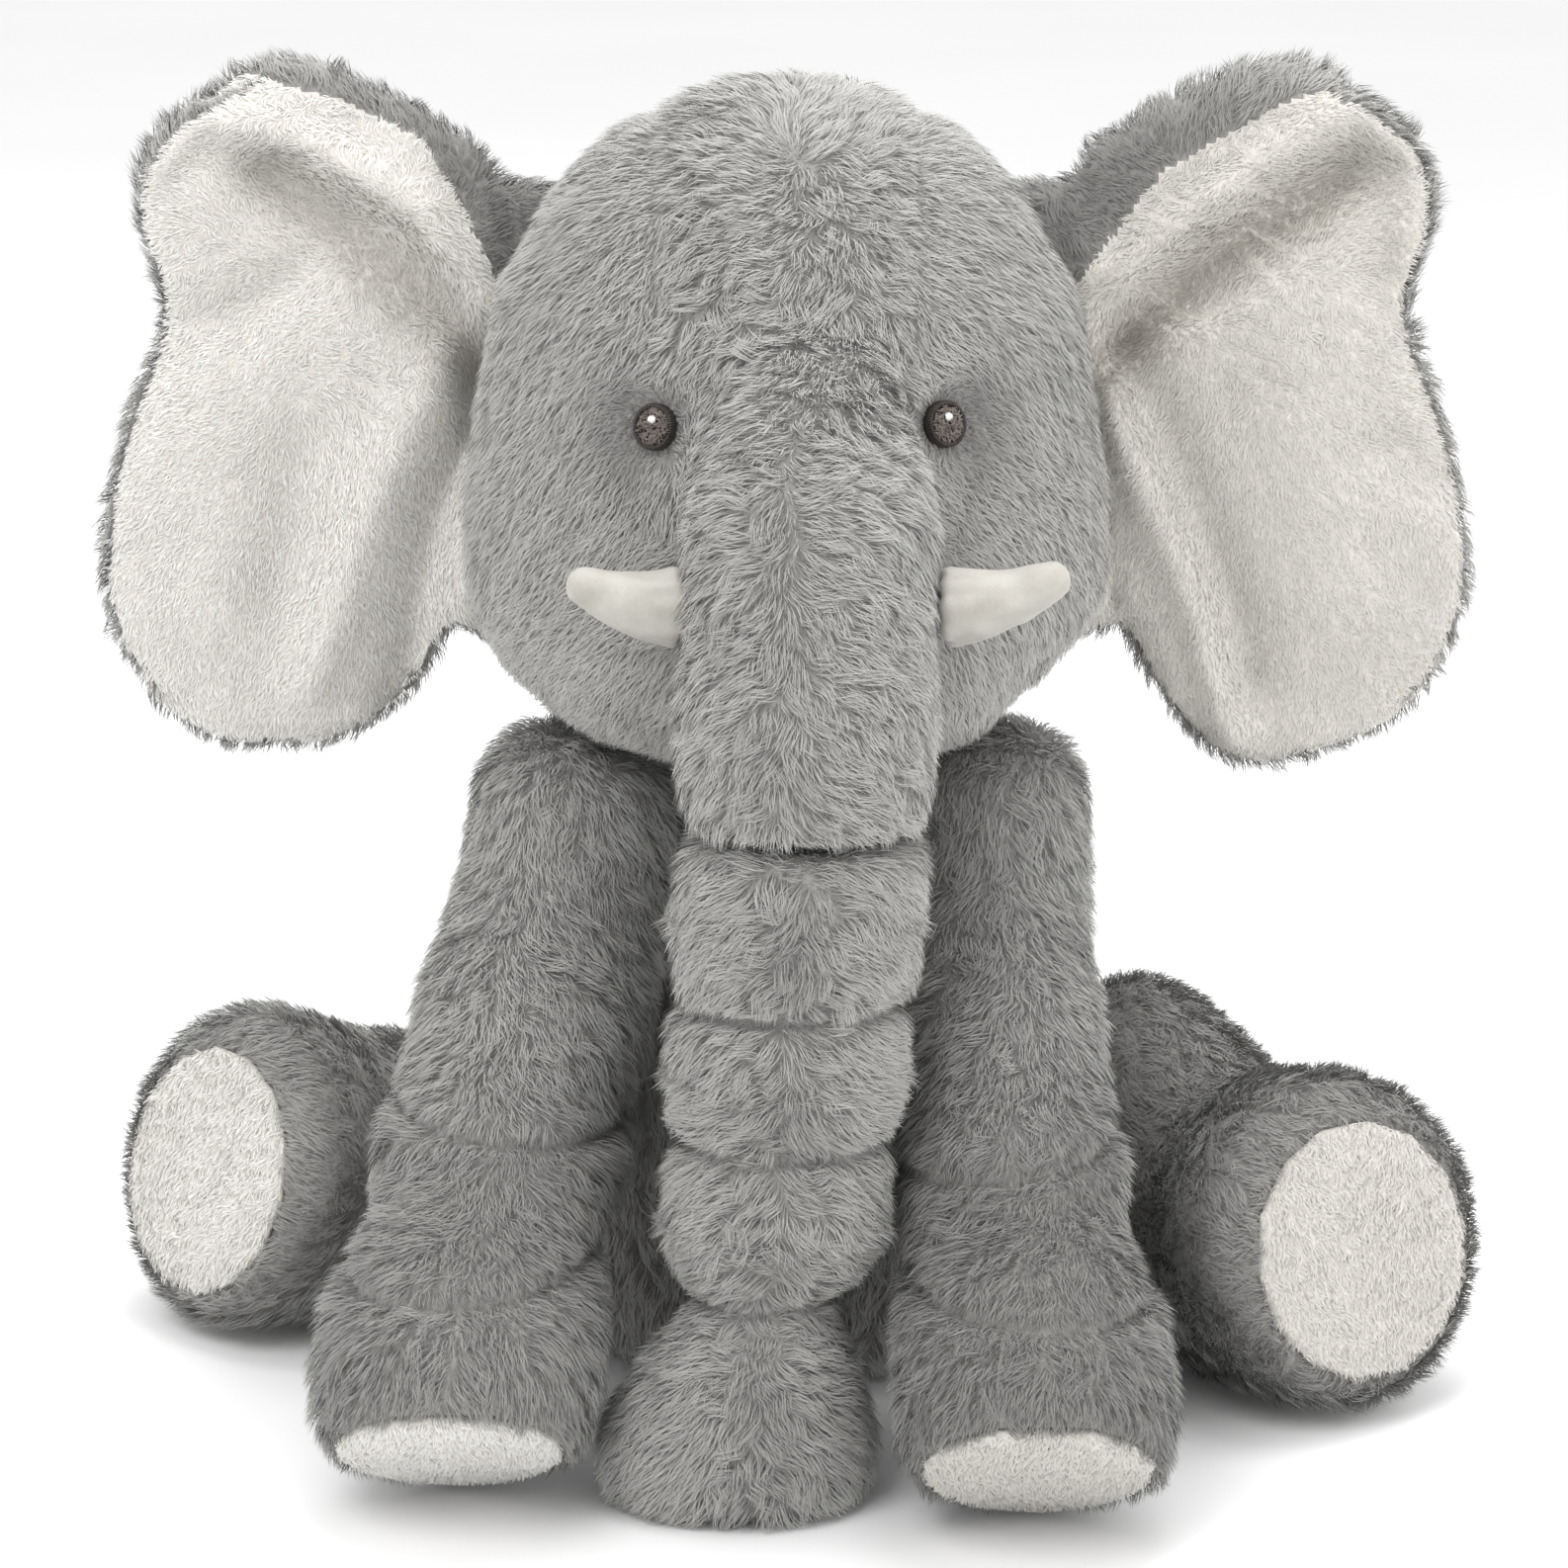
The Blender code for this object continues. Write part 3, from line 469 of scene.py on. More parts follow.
def roots_on(ob, per_mm2, rng):
    """Evenly dense random points on a mesh: places and normals."""
    mesh = ob.data
    mesh.calc_loop_triangles()
    tri = np.empty(len(mesh.loop_triangles) * 3, np.int32)
    mesh.loop_triangles.foreach_get("vertices", tri)
    tri = tri.reshape(-1, 3)
    co, normal = points_of(mesh), normals_of(mesh)
    a, b, c = (co[tri[:, k]] for k in range(3))
    area = np.linalg.norm(np.cross(b - a, c - a), axis=1) / 2
    wanted = area * per_mm2 / MM ** 2
    count = int(wanted.sum())
    total = np.cumsum(wanted)
    # one root in each equal share of the area, so that no patch is left bald
    pick = np.searchsorted(total, (np.arange(count) + rng.random(count)) * total[-1] / count)
    pick = np.minimum(pick, len(tri) - 1)
    u, v = np.sqrt(rng.random(count)), rng.random(count)
    w = np.stack([1 - u, u * (1 - v), u * v], axis=1)
    place = sum(w[:, k, None] * co[tri[pick, k]] for k in range(3))
    out = unit(sum(w[:, k, None] * normal[tri[pick, k]] for k in range(3)))
    return place, out


def nearest(points, centres):
    """Index of the nearest centre for each point, a slice at a time."""
    best = np.empty(len(points), np.int64)
    points, centres = points.astype(np.float32), centres.astype(np.float32)
    square = (centres ** 2).sum(1)
    for start in range(0, len(points), 4000):
        part = points[start:start + 4000]
        best[start:start + 4000] = np.argmin(square - 2 * part @ centres.T, axis=1)
    return best


def grow(name, ob, style, per_mm2, seed, material, width=0.29 * MM, clump_mm2=20.0, split=None):
    """Grows pile on a skin: thin tapered blades, each rooted in the skin and bent once on its way.

    style(places, normals) gives, per blade: keep, length, comb, stand, pull (towards the middle of its
    clump), curl, stray (how far each clump turns from the combing) and how dark it is drawn, for airbrush
    and for painted shade. split(places) numbers the piece that each blade belongs to, where one piece
    would be too large.
    """
    rng = np.random.default_rng(seed)
    place, out = roots_on(ob, per_mm2, rng)
    look = style(place, out)
    kept = rng.random(len(place)) < look["keep"]
    place, out = place[kept], out[kept]
    look = {key: value[kept] for key, value in look.items()}
    count = len(place)
    comb = look["comb"] - out * np.sum(look["comb"] * out, axis=1)[:, None]
    comb = unit(comb)
    side = np.cross(out, comb)

    centres = np.sort(rng.choice(count, max(4, int(count / per_mm2 / clump_mm2)), replace=False))
    mine = nearest(place, place[centres])
    centre = centres[mine]

    def shared(values, own):
        """A random value that a clump has in common, and a smaller one of each blade's own."""
        return values[mine] + own

    turn = shared(rng.normal(0, 1, len(centres)), 0) * look["stray"] + rng.normal(0, FUZZ, count)
    flow = comb * np.cos(turn)[:, None] + side * np.sin(turn)[:, None]
    lift = look["stand"] * shared(rng.uniform(0.75, 1.25, len(centres)), rng.uniform(-0.3, 0.3, count))
    lift = np.clip(lift, 0.08, 1.45)
    own_length = rng.uniform(0.86, 1.1, len(centres)), rng.uniform(-0.22, 0.12, count)
    length = look["length"] * shared(*own_length)
    phase = shared(rng.uniform(0, 2 * math.pi, len(centres)), rng.normal(0, 0.35, count))
    sway = np.cross(out, flow)

    def path(t):
        up = length * np.sin(lift) * (t - 0.34 * t * t) * 1.25
        along = length * np.cos(lift) * (0.62 * t + 0.38 * t * t)
        wave = length * look["curl"] * t * np.sin(4.2 * t + phase)
        return place + out * up[:, None] + flow * along[:, None] + sway * wave[:, None]

    rows = []
    for t in (0.0, HALFWAY, 1.0):
        own = path(t)
        rows.append(own + (own[centre] - own) * (look["pull"] * t ** 1.2)[:, None])
    roll = rng.uniform(-0.8, 0.8, count)
    verts = np.empty((count, PER_BLADE, 3))
    normal = np.empty((count, PER_BLADE, 3))
    thick = width * rng.uniform(0.7, 1.25, count) / 2
    for k, wide in ((0, 1.0), (1, HALFWAY_WIDTH)):
        tangent = unit(rows[k + 1] - rows[k])
        flat = unit(np.cross(tangent, out))
        edge = flat * np.cos(roll)[:, None] + np.cross(tangent, flat) * np.sin(roll)[:, None]
        face = unit(np.cross(edge, tangent))
        face *= np.where(np.sum(face * out, axis=1) < 0, -1, 1)[:, None]
        reach = edge * (thick * wide)[:, None]
        verts[:, 2 * k] = rows[k] - reach
        verts[:, 2 * k + 1] = rows[k] + reach
        normal[:, 2 * k] = normal[:, 2 * k + 1] = unit(out * SOFT + face * (1 - SOFT))
    verts[:, 4] = rows[2]
    normal[:, 4] = normal[:, 3]
    verts[..., 2] = np.maximum(verts[..., 2], FLOOR_GAP)
    quads, points = np.array([0, 1, 3, 2]), np.array([2, 3, 4])
    inward = np.sum(np.cross(verts[:, 1] - verts[:, 0], rows[1] - rows[0]) * out, axis=1) < 0
    shade = shared(rng.random(len(centres)) * 0.5, rng.random(count) * 0.5)
    # how dark each blade is drawn, for airbrush and for painted shade
    soot = np.clip(look["soot"], 0, 1)

    label = np.zeros(count, int) if split is None else split(place)
    made = []
    for number in range(label.max() + 1):
        chosen = np.nonzero(label == number)[0]
        total = len(chosen)
        base = np.arange(total)[:, None] * PER_BLADE
        lower, upper = base + quads, base + points
        # each face turns outward, so that light falls on the side that shows
        lower[inward[chosen]] = lower[inward[chosen]][:, ::-1]
        upper[inward[chosen]] = upper[inward[chosen]][:, ::-1]
        loops = np.concatenate([lower.ravel(), upper.ravel()]).astype(np.int32)
        starts = np.concatenate([np.arange(total) * 4, 4 * total + np.arange(total) * 3]).astype(np.int32)
        piece_name = name if split is None else f"{name}_{number + 1}"
        mesh = bpy.data.meshes.new(piece_name)
        mesh.vertices.add(total * PER_BLADE)
        mesh.vertices.foreach_set("co", verts[chosen].astype(np.float32).ravel())
        mesh.loops.add(len(loops))
        mesh.loops.foreach_set("vertex_index", loops)
        mesh.polygons.add(len(starts))
        mesh.polygons.foreach_set("loop_start", starts)
        mesh.update(calc_edges=True)
        mesh.shade_smooth()
        for key, value in (
            ("tip", np.tile([0, 0, HALFWAY, HALFWAY, 1.0], total)),
            ("shade", np.repeat(shade[chosen], PER_BLADE)),
            ("soot", np.repeat(soot[chosen], PER_BLADE)),
        ):
            mesh.attributes.new(key, "FLOAT", "POINT").data.foreach_set("value", value.astype(np.float32))
        mesh.normals_split_custom_set_from_vertices(normal[chosen].reshape(-1, 3))
        mesh.materials.append(material)
        made.append(link(bpy.data.objects.new(piece_name, mesh)))
    return made if split is not None else made[0]


def style_of(place, length, comb=(0, 0, -1), **values):
    """One value per blade of everything that grow asks a style for."""
    values = {"keep": 1.0, "stand": 0.75, "pull": 0.5, "curl": 0.1, "stray": 0.35, "soot": 0.0,
              "length": length, **values}
    out = {k: np.array(np.broadcast_to(v, len(place)), float) for k, v in values.items()}
    out["comb"] = np.array(np.broadcast_to(comb, (len(place), 3)), float)
    return out


def shorten_above(look, height):
    """Tufts above a crease stop just past it, none grows in it, and those near it are darkened with painted
    shade. height is that above the crease.
    """
    overhang, shortest, straightness = 1.4 * MM, 3.2 * MM, 0.85
    room = np.maximum(height + overhang, shortest) / straightness
    near = (height > -0.5 * MM) & (height < 9 * MM)
    look["length"] = np.where(near, np.minimum(look["length"], room), look["length"])
    look["keep"] = np.where(np.abs(height) < 1.0 * MM, 0.0, look["keep"])
    # painted shade: the blades along the crease are drawn darker
    look["soot"] = np.maximum(look["soot"], 0.45 * np.exp(-(height / (1.8 * MM)) ** 2))


# ---------------------------------------------------------------- places read from the frame

HEAD_PARTS = ["head_left_panel", "head_right_panel", "head_centre_gusset", "head_stuffing",
              "trunk_root_skin", "trunk_root_stuffing"]
TORSO_PARTS = ["torso_front_panel", "torso_back_left_panel", "torso_back_right_panel", "seat_panel",
               "torso_stuffing", "seat_pellet_bag"]
EYES = {}
for side_name in SIDES:
    low, high = box(f"eye_{side_name}_outline")
    EYES[side_name] = (low + high) / 2
FOLDS = [np.array(joints[f"trunk_curl_{k}"]["pos_m"]) for k in (1, 2, 3, 4)]


def fold_height(p, fold, arch=1.2 * MM):
    """Height above a trunk fold, which arches a little at its middle."""
    return p[:, 2] - fold[2] - (1 - ((p[:, 0] - fold[0]) / (30 * MM)) ** 2) * arch


def disc_of(part, body_part):
    """Centre, outward direction and radius of a round sole."""
    co = points_of(nodes[part].data)
    low, high = co.min(0), co.max(0)
    centre = (low + high) / 2
    _, _, axes = np.linalg.svd(co - co.mean(0), full_matrices=False)
    axis = axes[2]
    away = centre - points_of(nodes[body_part].data).mean(0)
    if axis @ away < 0:
        axis = -axis
    radial = co - centre
    radial -= np.outer(radial @ axis, axis)
    return centre, axis, np.linalg.norm(radial, axis=1).max()


# ---------------------------------------------------------------- head

gusset_low, gusset_high = box("head_centre_gusset")
SEAM_X = (gusset_high[0] - gusset_low[0]) / 2
HEAD_X = (gusset_high[0] + gusset_low[0]) / 2
TRUNK_BASE_Z = FOLDS[0][2]
EYE_SCALE = np.array([1, 0.6, 1])  # distances across the face count more than those into it
BROW = np.array([HEAD_X + 7 * MM, -0.078, 0.299])  # where the trunk's root leaves the forehead
TRUNK_X = 0.006
TRUNK_HALF_WIDTH = 0.042
TRUNK_FRONT = -0.11  # what lies further forward than this is the front of the trunk


def seam_distance(p):
    """Distance to the two seams of the head's centre strip, on its front and top."""
    front = smooth(0.0, 0.02, p[:, 2] - EYES["left"][2])
    return np.abs(np.abs(p[:, 0] - HEAD_X) - SEAM_X) + (1 - front) * 0.03


def gap_from(p, point, scale=(1, 1, 1)):
    return np.linalg.norm((p - point) * scale, axis=1)


def eye_distance(p):
    return np.min([gap_from(p, eye, EYE_SCALE) for eye in EYES.values()], axis=0)


head_skin = skin_from("head_skin", HEAD_PARTS, 4 * MM)
puff(head_skin, hold=lambda p: (seam_distance(p) < 2.5 * MM) | (p[:, 2] < TRUNK_BASE_Z + 6 * MM))
refine(head_skin)
carve(head_skin, lambda p: groove(seam_distance(p), 2.2 * MM, 1.2 * MM)
      + groove(eye_distance(p), 8 * MM, 2.8 * MM))


def stuffed_head(p):
    """The stuffing fills the head's upper sides and its brow and leaves the cheeks' lower corners slack."""
    across, z = np.abs(p[:, 0]), p[:, 2]
    upper = 3.5 * MM * smooth(0.025, 0.05, across) * smooth(0.275, 0.31, z)
    lower = smooth(0.232, 0.205, z) * smooth(0.178, 0.195, z) * smooth(0.045, 0.07, across)
    brow = 2.5 * MM * bell(gap_from(p, BROW, [0.5, 1, 1]), 9 * MM)
    return upper + brow - np.where(p[:, 0] > 0, 6.5 * MM, 3.5 * MM) * lower


carve(head_skin, stuffed_head)
head_skin.data.materials.append(GREY_BACKING)
dress(head_skin, "head")


def is_trunk(p):
    """1 on the trunk's root, 0 on the head itself."""
    narrow = np.abs(p[:, 0] - TRUNK_X) < TRUNK_HALF_WIDTH
    return smooth(-0.078, -0.094, p[:, 1]) * smooth(0.305, 0.270, p[:, 2]) * narrow


def parted(across, blend=6 * MM):
    """-1 on one side of a parting and 1 on the other."""
    return np.sign(across) * smooth(0.0, blend, np.abs(across))


def mottled(p):
    """Soft blotches, from 0.4 to 1."""
    return 0.7 + 0.3 * swirl(p, 0.022, 0.9)[:, 0]


def head_style(p, n):
    trunk = is_trunk(p)
    across = np.abs(p[:, 0] - HEAD_X)
    strip = np.maximum(1 - smooth(SEAM_X - 4 * MM, SEAM_X + 2 * MM, across), trunk * (across < 20 * MM))
    parting = parted(p[:, 0] - HEAD_X + 3 * MM * swirl(p, 0.05, 2.2)[:, 0])
    comb = np.array([0, 0, -1.0]) + 0.35 * swirl(p, 0.11)
    comb[:, 0] += parting * (0.55 * (1 - strip) + (0.25 + 0.55 * trunk) * strip)
    comb[:, 1] += 0.25 * (1 - strip)
    comb[:, 2] += 0.5 * strip
    middle = mottled(p) * trunk * bell(p[:, 0] - HEAD_X, 8 * MM)
    look = style_of(
        p, comb=comb, length=8.4 * MM - 1.0 * MM * (1 - strip), stand=0.5 + 0.16 * strip,
        pull=0.14 + 0.20 * strip, curl=0.05 + 0.05 * strip, stray=0.12 + 0.24 * strip,
        soot=0.14 * middle,
    )
    for name, eye in EYES.items():
        gap = gap_from(p, eye, [1, 0.6, 0.9])
        near = bell(gap, 11 * MM)[:, None]
        look["comb"] = look["comb"] * (1 - near) + unit(p - eye) * near * 1.6
        look["keep"] = np.where(gap < 4.8 * MM, 0.0, look["keep"])
        look["length"] *= 0.45 + 0.55 * smooth(5 * MM, 18 * MM, gap)
        look["stand"] *= 0.8 + 0.2 * smooth(6 * MM, 16 * MM, gap)
        outer = smooth(-4 * MM, 7 * MM, (p[:, 0] - eye[0]) * SIDES[name])
        dusk = (0.34 + 0.52 * outer) * bell(gap, 9.5 * MM + 4 * MM * outer)
        look["soot"] = np.maximum(look["soot"], dusk)
    seam = seam_distance(p)
    look["keep"] = np.where(seam < 0.7 * MM, 0.0, look["keep"])
    look["length"] *= 1 - 0.3 * bell(seam, 3 * MM)
    for name in SIDES:
        tusk_low, tusk_high = box(f"tusk_{name}")
        reach = (tusk_high - tusk_low) / 2 + 1.5 * MM
        inside = np.linalg.norm((p - (tusk_low + tusk_high) / 2) / reach, axis=1)
        look["keep"] = np.where(inside < 0.9, 0.0, look["keep"])
    low_trunk = (trunk > 0.5) & (p[:, 2] < TRUNK_BASE_Z + 12 * MM)
    crease = dict(look)
    shorten_above(crease, fold_height(p, FOLDS[0], 1.5 * MM))
    for key in ("length", "keep", "soot"):
        look[key] = np.where(low_trunk, crease[key], look[key])
    return look


def head_split(p):
    """Left side, right side, the centre strip's front and back, and the trunk's root."""
    across = p[:, 0] - HEAD_X
    number = np.where(across < -SEAM_X, 0, np.where(across > SEAM_X, 1, np.where(p[:, 1] < 0, 2, 3)))
    return np.where((is_trunk(p) > 0.5) & (p[:, 2] < 0.27), 4, number)


for pile in grow("head_pile", head_skin, head_style, 1.25, 11, GREY_PILE, split=head_split):
    dress(pile, "head")


# ---------------------------------------------------------------- trunk

TRUNK_PARTS = [f"trunk_{k}_{layer}" for k in (1, 2, 3, 4) for layer in ("skin", "stuffing")]
trunk = skin_from("trunk_whole", TRUNK_PARTS, 3.5 * MM)
puff(trunk, hold=lambda p: np.min([np.abs(p[:, 2] - f[2]) for f in FOLDS], axis=0) < 2.5 * MM,
     cap=2.6 * MM)
refine(trunk)
carve(trunk, lambda p: sum(groove(fold_height(p, f), 2.6 * MM, 2.6 * MM) for f in FOLDS[1:])
      + groove(fold_height(p, FOLDS[3]), 11 * MM, 1.2 * MM))
# the tip spreads, most to the left, and its front lies back
tip = points_of(trunk.data)
off_centre = tip[:, 0] - FOLDS[3][0]
spread = np.where(off_centre < 0, -5 * MM, 2 * MM) * smooth(0, 20 * MM, np.abs(off_centre))
tip[:, 0] += smooth(0.045, 0.015, tip[:, 2]) * spread
tip[:, 1] += 7 * MM * smooth(0.05, 0.012, tip[:, 2]) * smooth(-0.10, -0.135, tip[:, 1])
move_points(trunk, tip)


def slice_of(whole, name, low, high):
    """The part of a closed mesh between two heights, closed again at each cut."""
    bm = bmesh.new()
    bm.from_mesh(whole.data)
    for height, up in ((low, -1), (high, 1)):
        if height is None:
            continue
        geom = bm.verts[:] + bm.edges[:] + bm.faces[:]
        cut = bmesh.ops.bisect_plane(
            bm, geom=geom, plane_co=(0, 0, height), plane_no=(0, 0, up), clear_outer=True)
        edges = [e for e in cut["geom_cut"] if isinstance(e, bmesh.types.BMEdge)]
        bmesh.ops.contextual_create(bm, geom=edges)
    mesh = bpy.data.meshes.new(name)
    bm.to_mesh(mesh)
    bm.free()
    mesh.shade_smooth()
    return link(bpy.data.objects.new(name, mesh))


def trunk_style(p, n):
    xs = np.interp(p[:, 2], [f[2] for f in reversed(FOLDS)], [f[0] for f in reversed(FOLDS)])
    across = np.abs(p[:, 0] - xs)
    front = p[:, 1] < TRUNK_FRONT
    strip = (1 - smooth(9 * MM, 18 * MM, across)) * front
    comb = np.array([0, -0.1, -0.5]) + 0.3 * swirl(p, 0.09, 1.7)
    flare = smooth(0.045, 0.02, p[:, 2])
    comb[:, 0] += parted(p[:, 0] - xs) * (0.9 - 0.2 * flare)
    comb[:, 2] -= 0.6 * flare
    look = style_of(
        p, comb=comb, length=8.2 * MM, stand=0.5 + 0.2 * strip, pull=0.18 + 0.26 * strip,
        curl=0.06 + 0.07 * strip, stray=0.16 + 0.34 * strip,
        soot=0.05 + 0.24 * mottled(p) * bell(across, 8.5 * MM) * front,
    )
    look["length"] *= 1 - 0.38 * bell(p[:, 2] - FOLDS[3][2], 13 * MM)
    for fold in FOLDS:
        shorten_above(look, fold_height(p, fold))
    return look


TIP_CUT = 16 * MM  # how far below the last fold the tip becomes a piece of its own
CUTS = [None, *[(a[2] + b[2]) / 2 for a, b in zip(FOLDS, FOLDS[1:])], FOLDS[3][2] - TIP_CUT, None]
for k in range(5):
    piece = slice_of(trunk, f"trunk_skin_{k + 1}", CUTS[k + 1], CUTS[k])
    piece.data.materials.append(GREY_BACKING)
    pile = grow(f"trunk_pile_{k + 1}", piece, trunk_style, 1.4, 31 + k, GREY_PILE)
    for part in (piece, pile):
        if k < 4:
            x, y, z = FOLDS[k]
            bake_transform(part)
        else:
            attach(part, "trunk_4")
    if k < 4:
        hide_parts(f"trunk_{k + 1}_skin", f"trunk_{k + 1}_stuffing")
bpy.data.objects.remove(trunk)


# ---------------------------------------------------------------- torso

torso_skin = skin_from("torso_skin", TORSO_PARTS, 4.5 * MM)
puff(torso_skin, hold=lambda p: (p[:, 2] < 4 * MM) | (p[:, 2] > 0.19), cap=2.5 * MM)
refine(torso_skin)
flat_seat = points_of(torso_skin.data)
flat_seat[:, 2] = np.maximum(flat_seat[:, 2], FLOOR_GAP)
move_points(torso_skin, flat_seat)
torso_skin.data.materials.append(GREY_BACKING)
dress(torso_skin, "torso")


def torso_style(p, n):
    comb = np.array([0, 0, -1.0]) + 0.3 * swirl(p, 0.12, 0.6)
    look = style_of(p, 8.5 * MM, comb, stand=0.6, pull=0.4, curl=0.1, stray=0.3, soot=0.12)
    look["keep"] = np.where((p[:, 2] > 0.205) | (n[:, 2] < -0.8), 0.0, look["keep"])
    back_seam = np.abs(p[:, 0]) + 0.05 * (p[:, 1] < 0)
    look["length"] *= 1 - 0.3 * bell(back_seam, 2.5 * MM)
    look["keep"] = np.where(back_seam < 0.6 * MM, 0.0, look["keep"])
    return look


torso_pile = grow("torso_pile", torso_skin, torso_style, 0.62, 51, GREY_PILE, width=0.42 * MM)
dress(torso_pile, "torso")


# ---------------------------------------------------------------- legs

def minky_style(axis, centre):
    """Short combed pile on a sole, ruffled in small waves."""
    def style(p, n):
        q = p - centre
        across = unit(np.cross(axis, [0, 0, 1.0]))
        up = np.cross(across, axis)
        wave = np.sin((q @ up) * 900 + 2 * np.sin((q @ across) * 260))
        comb = -up + across * (0.5 * wave[:, None]) + 0.5 * swirl(p, 0.05)
        outward = n @ axis
        # painted shade: the soles on the right side are drawn much darker than those on the left
        return style_of(p, 2.8 * MM, comb, keep=(outward > 0.35).astype(float), stand=0.55, pull=0.3,
                        curl=0.05, stray=0.2, soot=0.42 if centre[0] > 0 else 0.02)
    return style


def leg_pieces(body, skins, sole, creases, hind, seed, thigh=0.0):
    centre, axis, radius = disc_of(sole, skins[0])
    hip = np.array(joints[body.replace("hind_leg", "hip")]["pos_m"]) if hind else None
    skin = skin_from(f"{body}_padding", [*skins, f"{body}_stuffing"], 3.5 * MM)

    def crease_height(p, z, lean):
        return p[:, 2] - z - lean * (p[:, 0] - centre[0])

    def near_crease(p):
        near = np.zeros(len(p), bool)
        for crease in creases:
            near |= np.abs(crease_height(p, *crease)) < 2.5 * MM
        return near

    puff(skin, hold=near_crease, cap=2.6 * MM)
    refine(skin)
    if creases:
        carve(skin, lambda p: sum(groove(crease_height(p, *c), 3.0 * MM, 2.6 * MM) for c in creases))
    if hind:
        # the top of the thigh is stuffed up against the belly
        top = hip + np.array([SIDES[body.rsplit("_", 1)[1]] * 14 * MM, 0, 40 * MM])
        carve(skin, lambda p: thigh * bell(np.linalg.norm(p - top, axis=1), 32 * MM))

        def behind_foot(p):
            depth = (p - centre) @ axis
            return smooth(-45 * MM, -20 * MM, depth) * smooth(-3 * MM, -11 * MM, depth)

        carve(skin, lambda p: 4 * MM * smooth(0.03, 0.06, p[:, 2]) * behind_foot(p))
    else:
        # the shoulder is stuffed up against the head
        def shoulder_depth(p):
            high = 8 * MM * smooth(0.145, 0.172, p[:, 2]) + 6 * MM * smooth(0.158, 0.174, p[:, 2])
            return high * (0.35 + 0.65 * smooth(0.088, 0.066, np.abs(p[:, 0])))

        carve(skin, shoulder_depth)
    low = points_of(skin.data)
    low[:, 2] = np.maximum(low[:, 2], FLOOR_GAP)
    move_points(skin, low)
    skin.data.materials.append(GREY_BACKING)
    dress(skin, body)

    def style(p, n):
        q = p - centre
        depth = q @ axis
        radial = np.linalg.norm(q - np.outer(depth, axis), axis=1)
        near_foot = smooth(-0.055, -0.01, depth)[:, None]
        down = np.array([0, 0, -1.0])
        comb = (axis if hind else down + 0.35 * axis * near_foot) + 0.34 * swirl(p, 0.1, seed)
        if hind:
            comb = comb + down * 0.35 * (1 - near_foot)
        shadow = 0.06 + (0.08 if hind else 0.28 * smooth(0.125, 0.09, p[:, 2]))
        shadow = shadow + (0.13 if centre[0] > 0 else 0)
        look = style_of(p, 8.8 * MM, comb, stand=0.58, pull=0.32, curl=0.08, stray=0.32, soot=shadow)
        under = (depth > -7 * MM) & (radial < radius - 1.0 * MM)
        look["keep"] = np.where(under | ((n[:, 2] < -0.6) & (p[:, 2] < 6 * MM)), 0.0, look["keep"])
        rim = smooth(-12 * MM, 0, depth) * (radial > radius - 2 * MM)
        look["length"] *= 1 - 0.28 * rim
        look["comb"] = look["comb"] + axis * rim[:, None]
        for crease in creases:
            shorten_above(look, crease_height(p, *crease))
        return look

    pile = grow(f"{body}_pile", skin, style, 1.2, seed, GREY_PILE)
    dress(pile, body)
    pad = skin_from(f"{body}_sole_pad", [sole], 1.8 * MM)
    puff(pad, cap=1.5 * MM, slack=0.2 * MM, frames=12)
    refine(pad)
    pad.data.materials.append(CREAM_BACKING)
    dress(pad, body)
    nap = grow(f"{body}_sole_pile", pad, minky_style(axis, centre), 1.7, seed + 1, CREAM_PILE,
               width=0.34 * MM, clump_mm2=5.0)
    dress(nap, body)


leg_pieces("front_leg_left", ["front_leg_left_skin", "front_leg_left_foot_skin"], "front_leg_left_sole",
           [(0.1005, -0.12), (0.0665, 0.05)], False, 61)
leg_pieces("front_leg_right", ["front_leg_right_skin", "front_leg_right_foot_skin"], "front_leg_right_sole",
           [(0.0945, 0.10), (0.0665, -0.05)], False, 64)
leg_pieces("hind_leg_left", ["hind_leg_left_skin"], "hind_leg_left_sole", [], True, 67)
leg_pieces("hind_leg_right", ["hind_leg_right_skin"], "hind_leg_right_sole", [], True, 70, 30 * MM)


# ---------------------------------------------------------------- ears

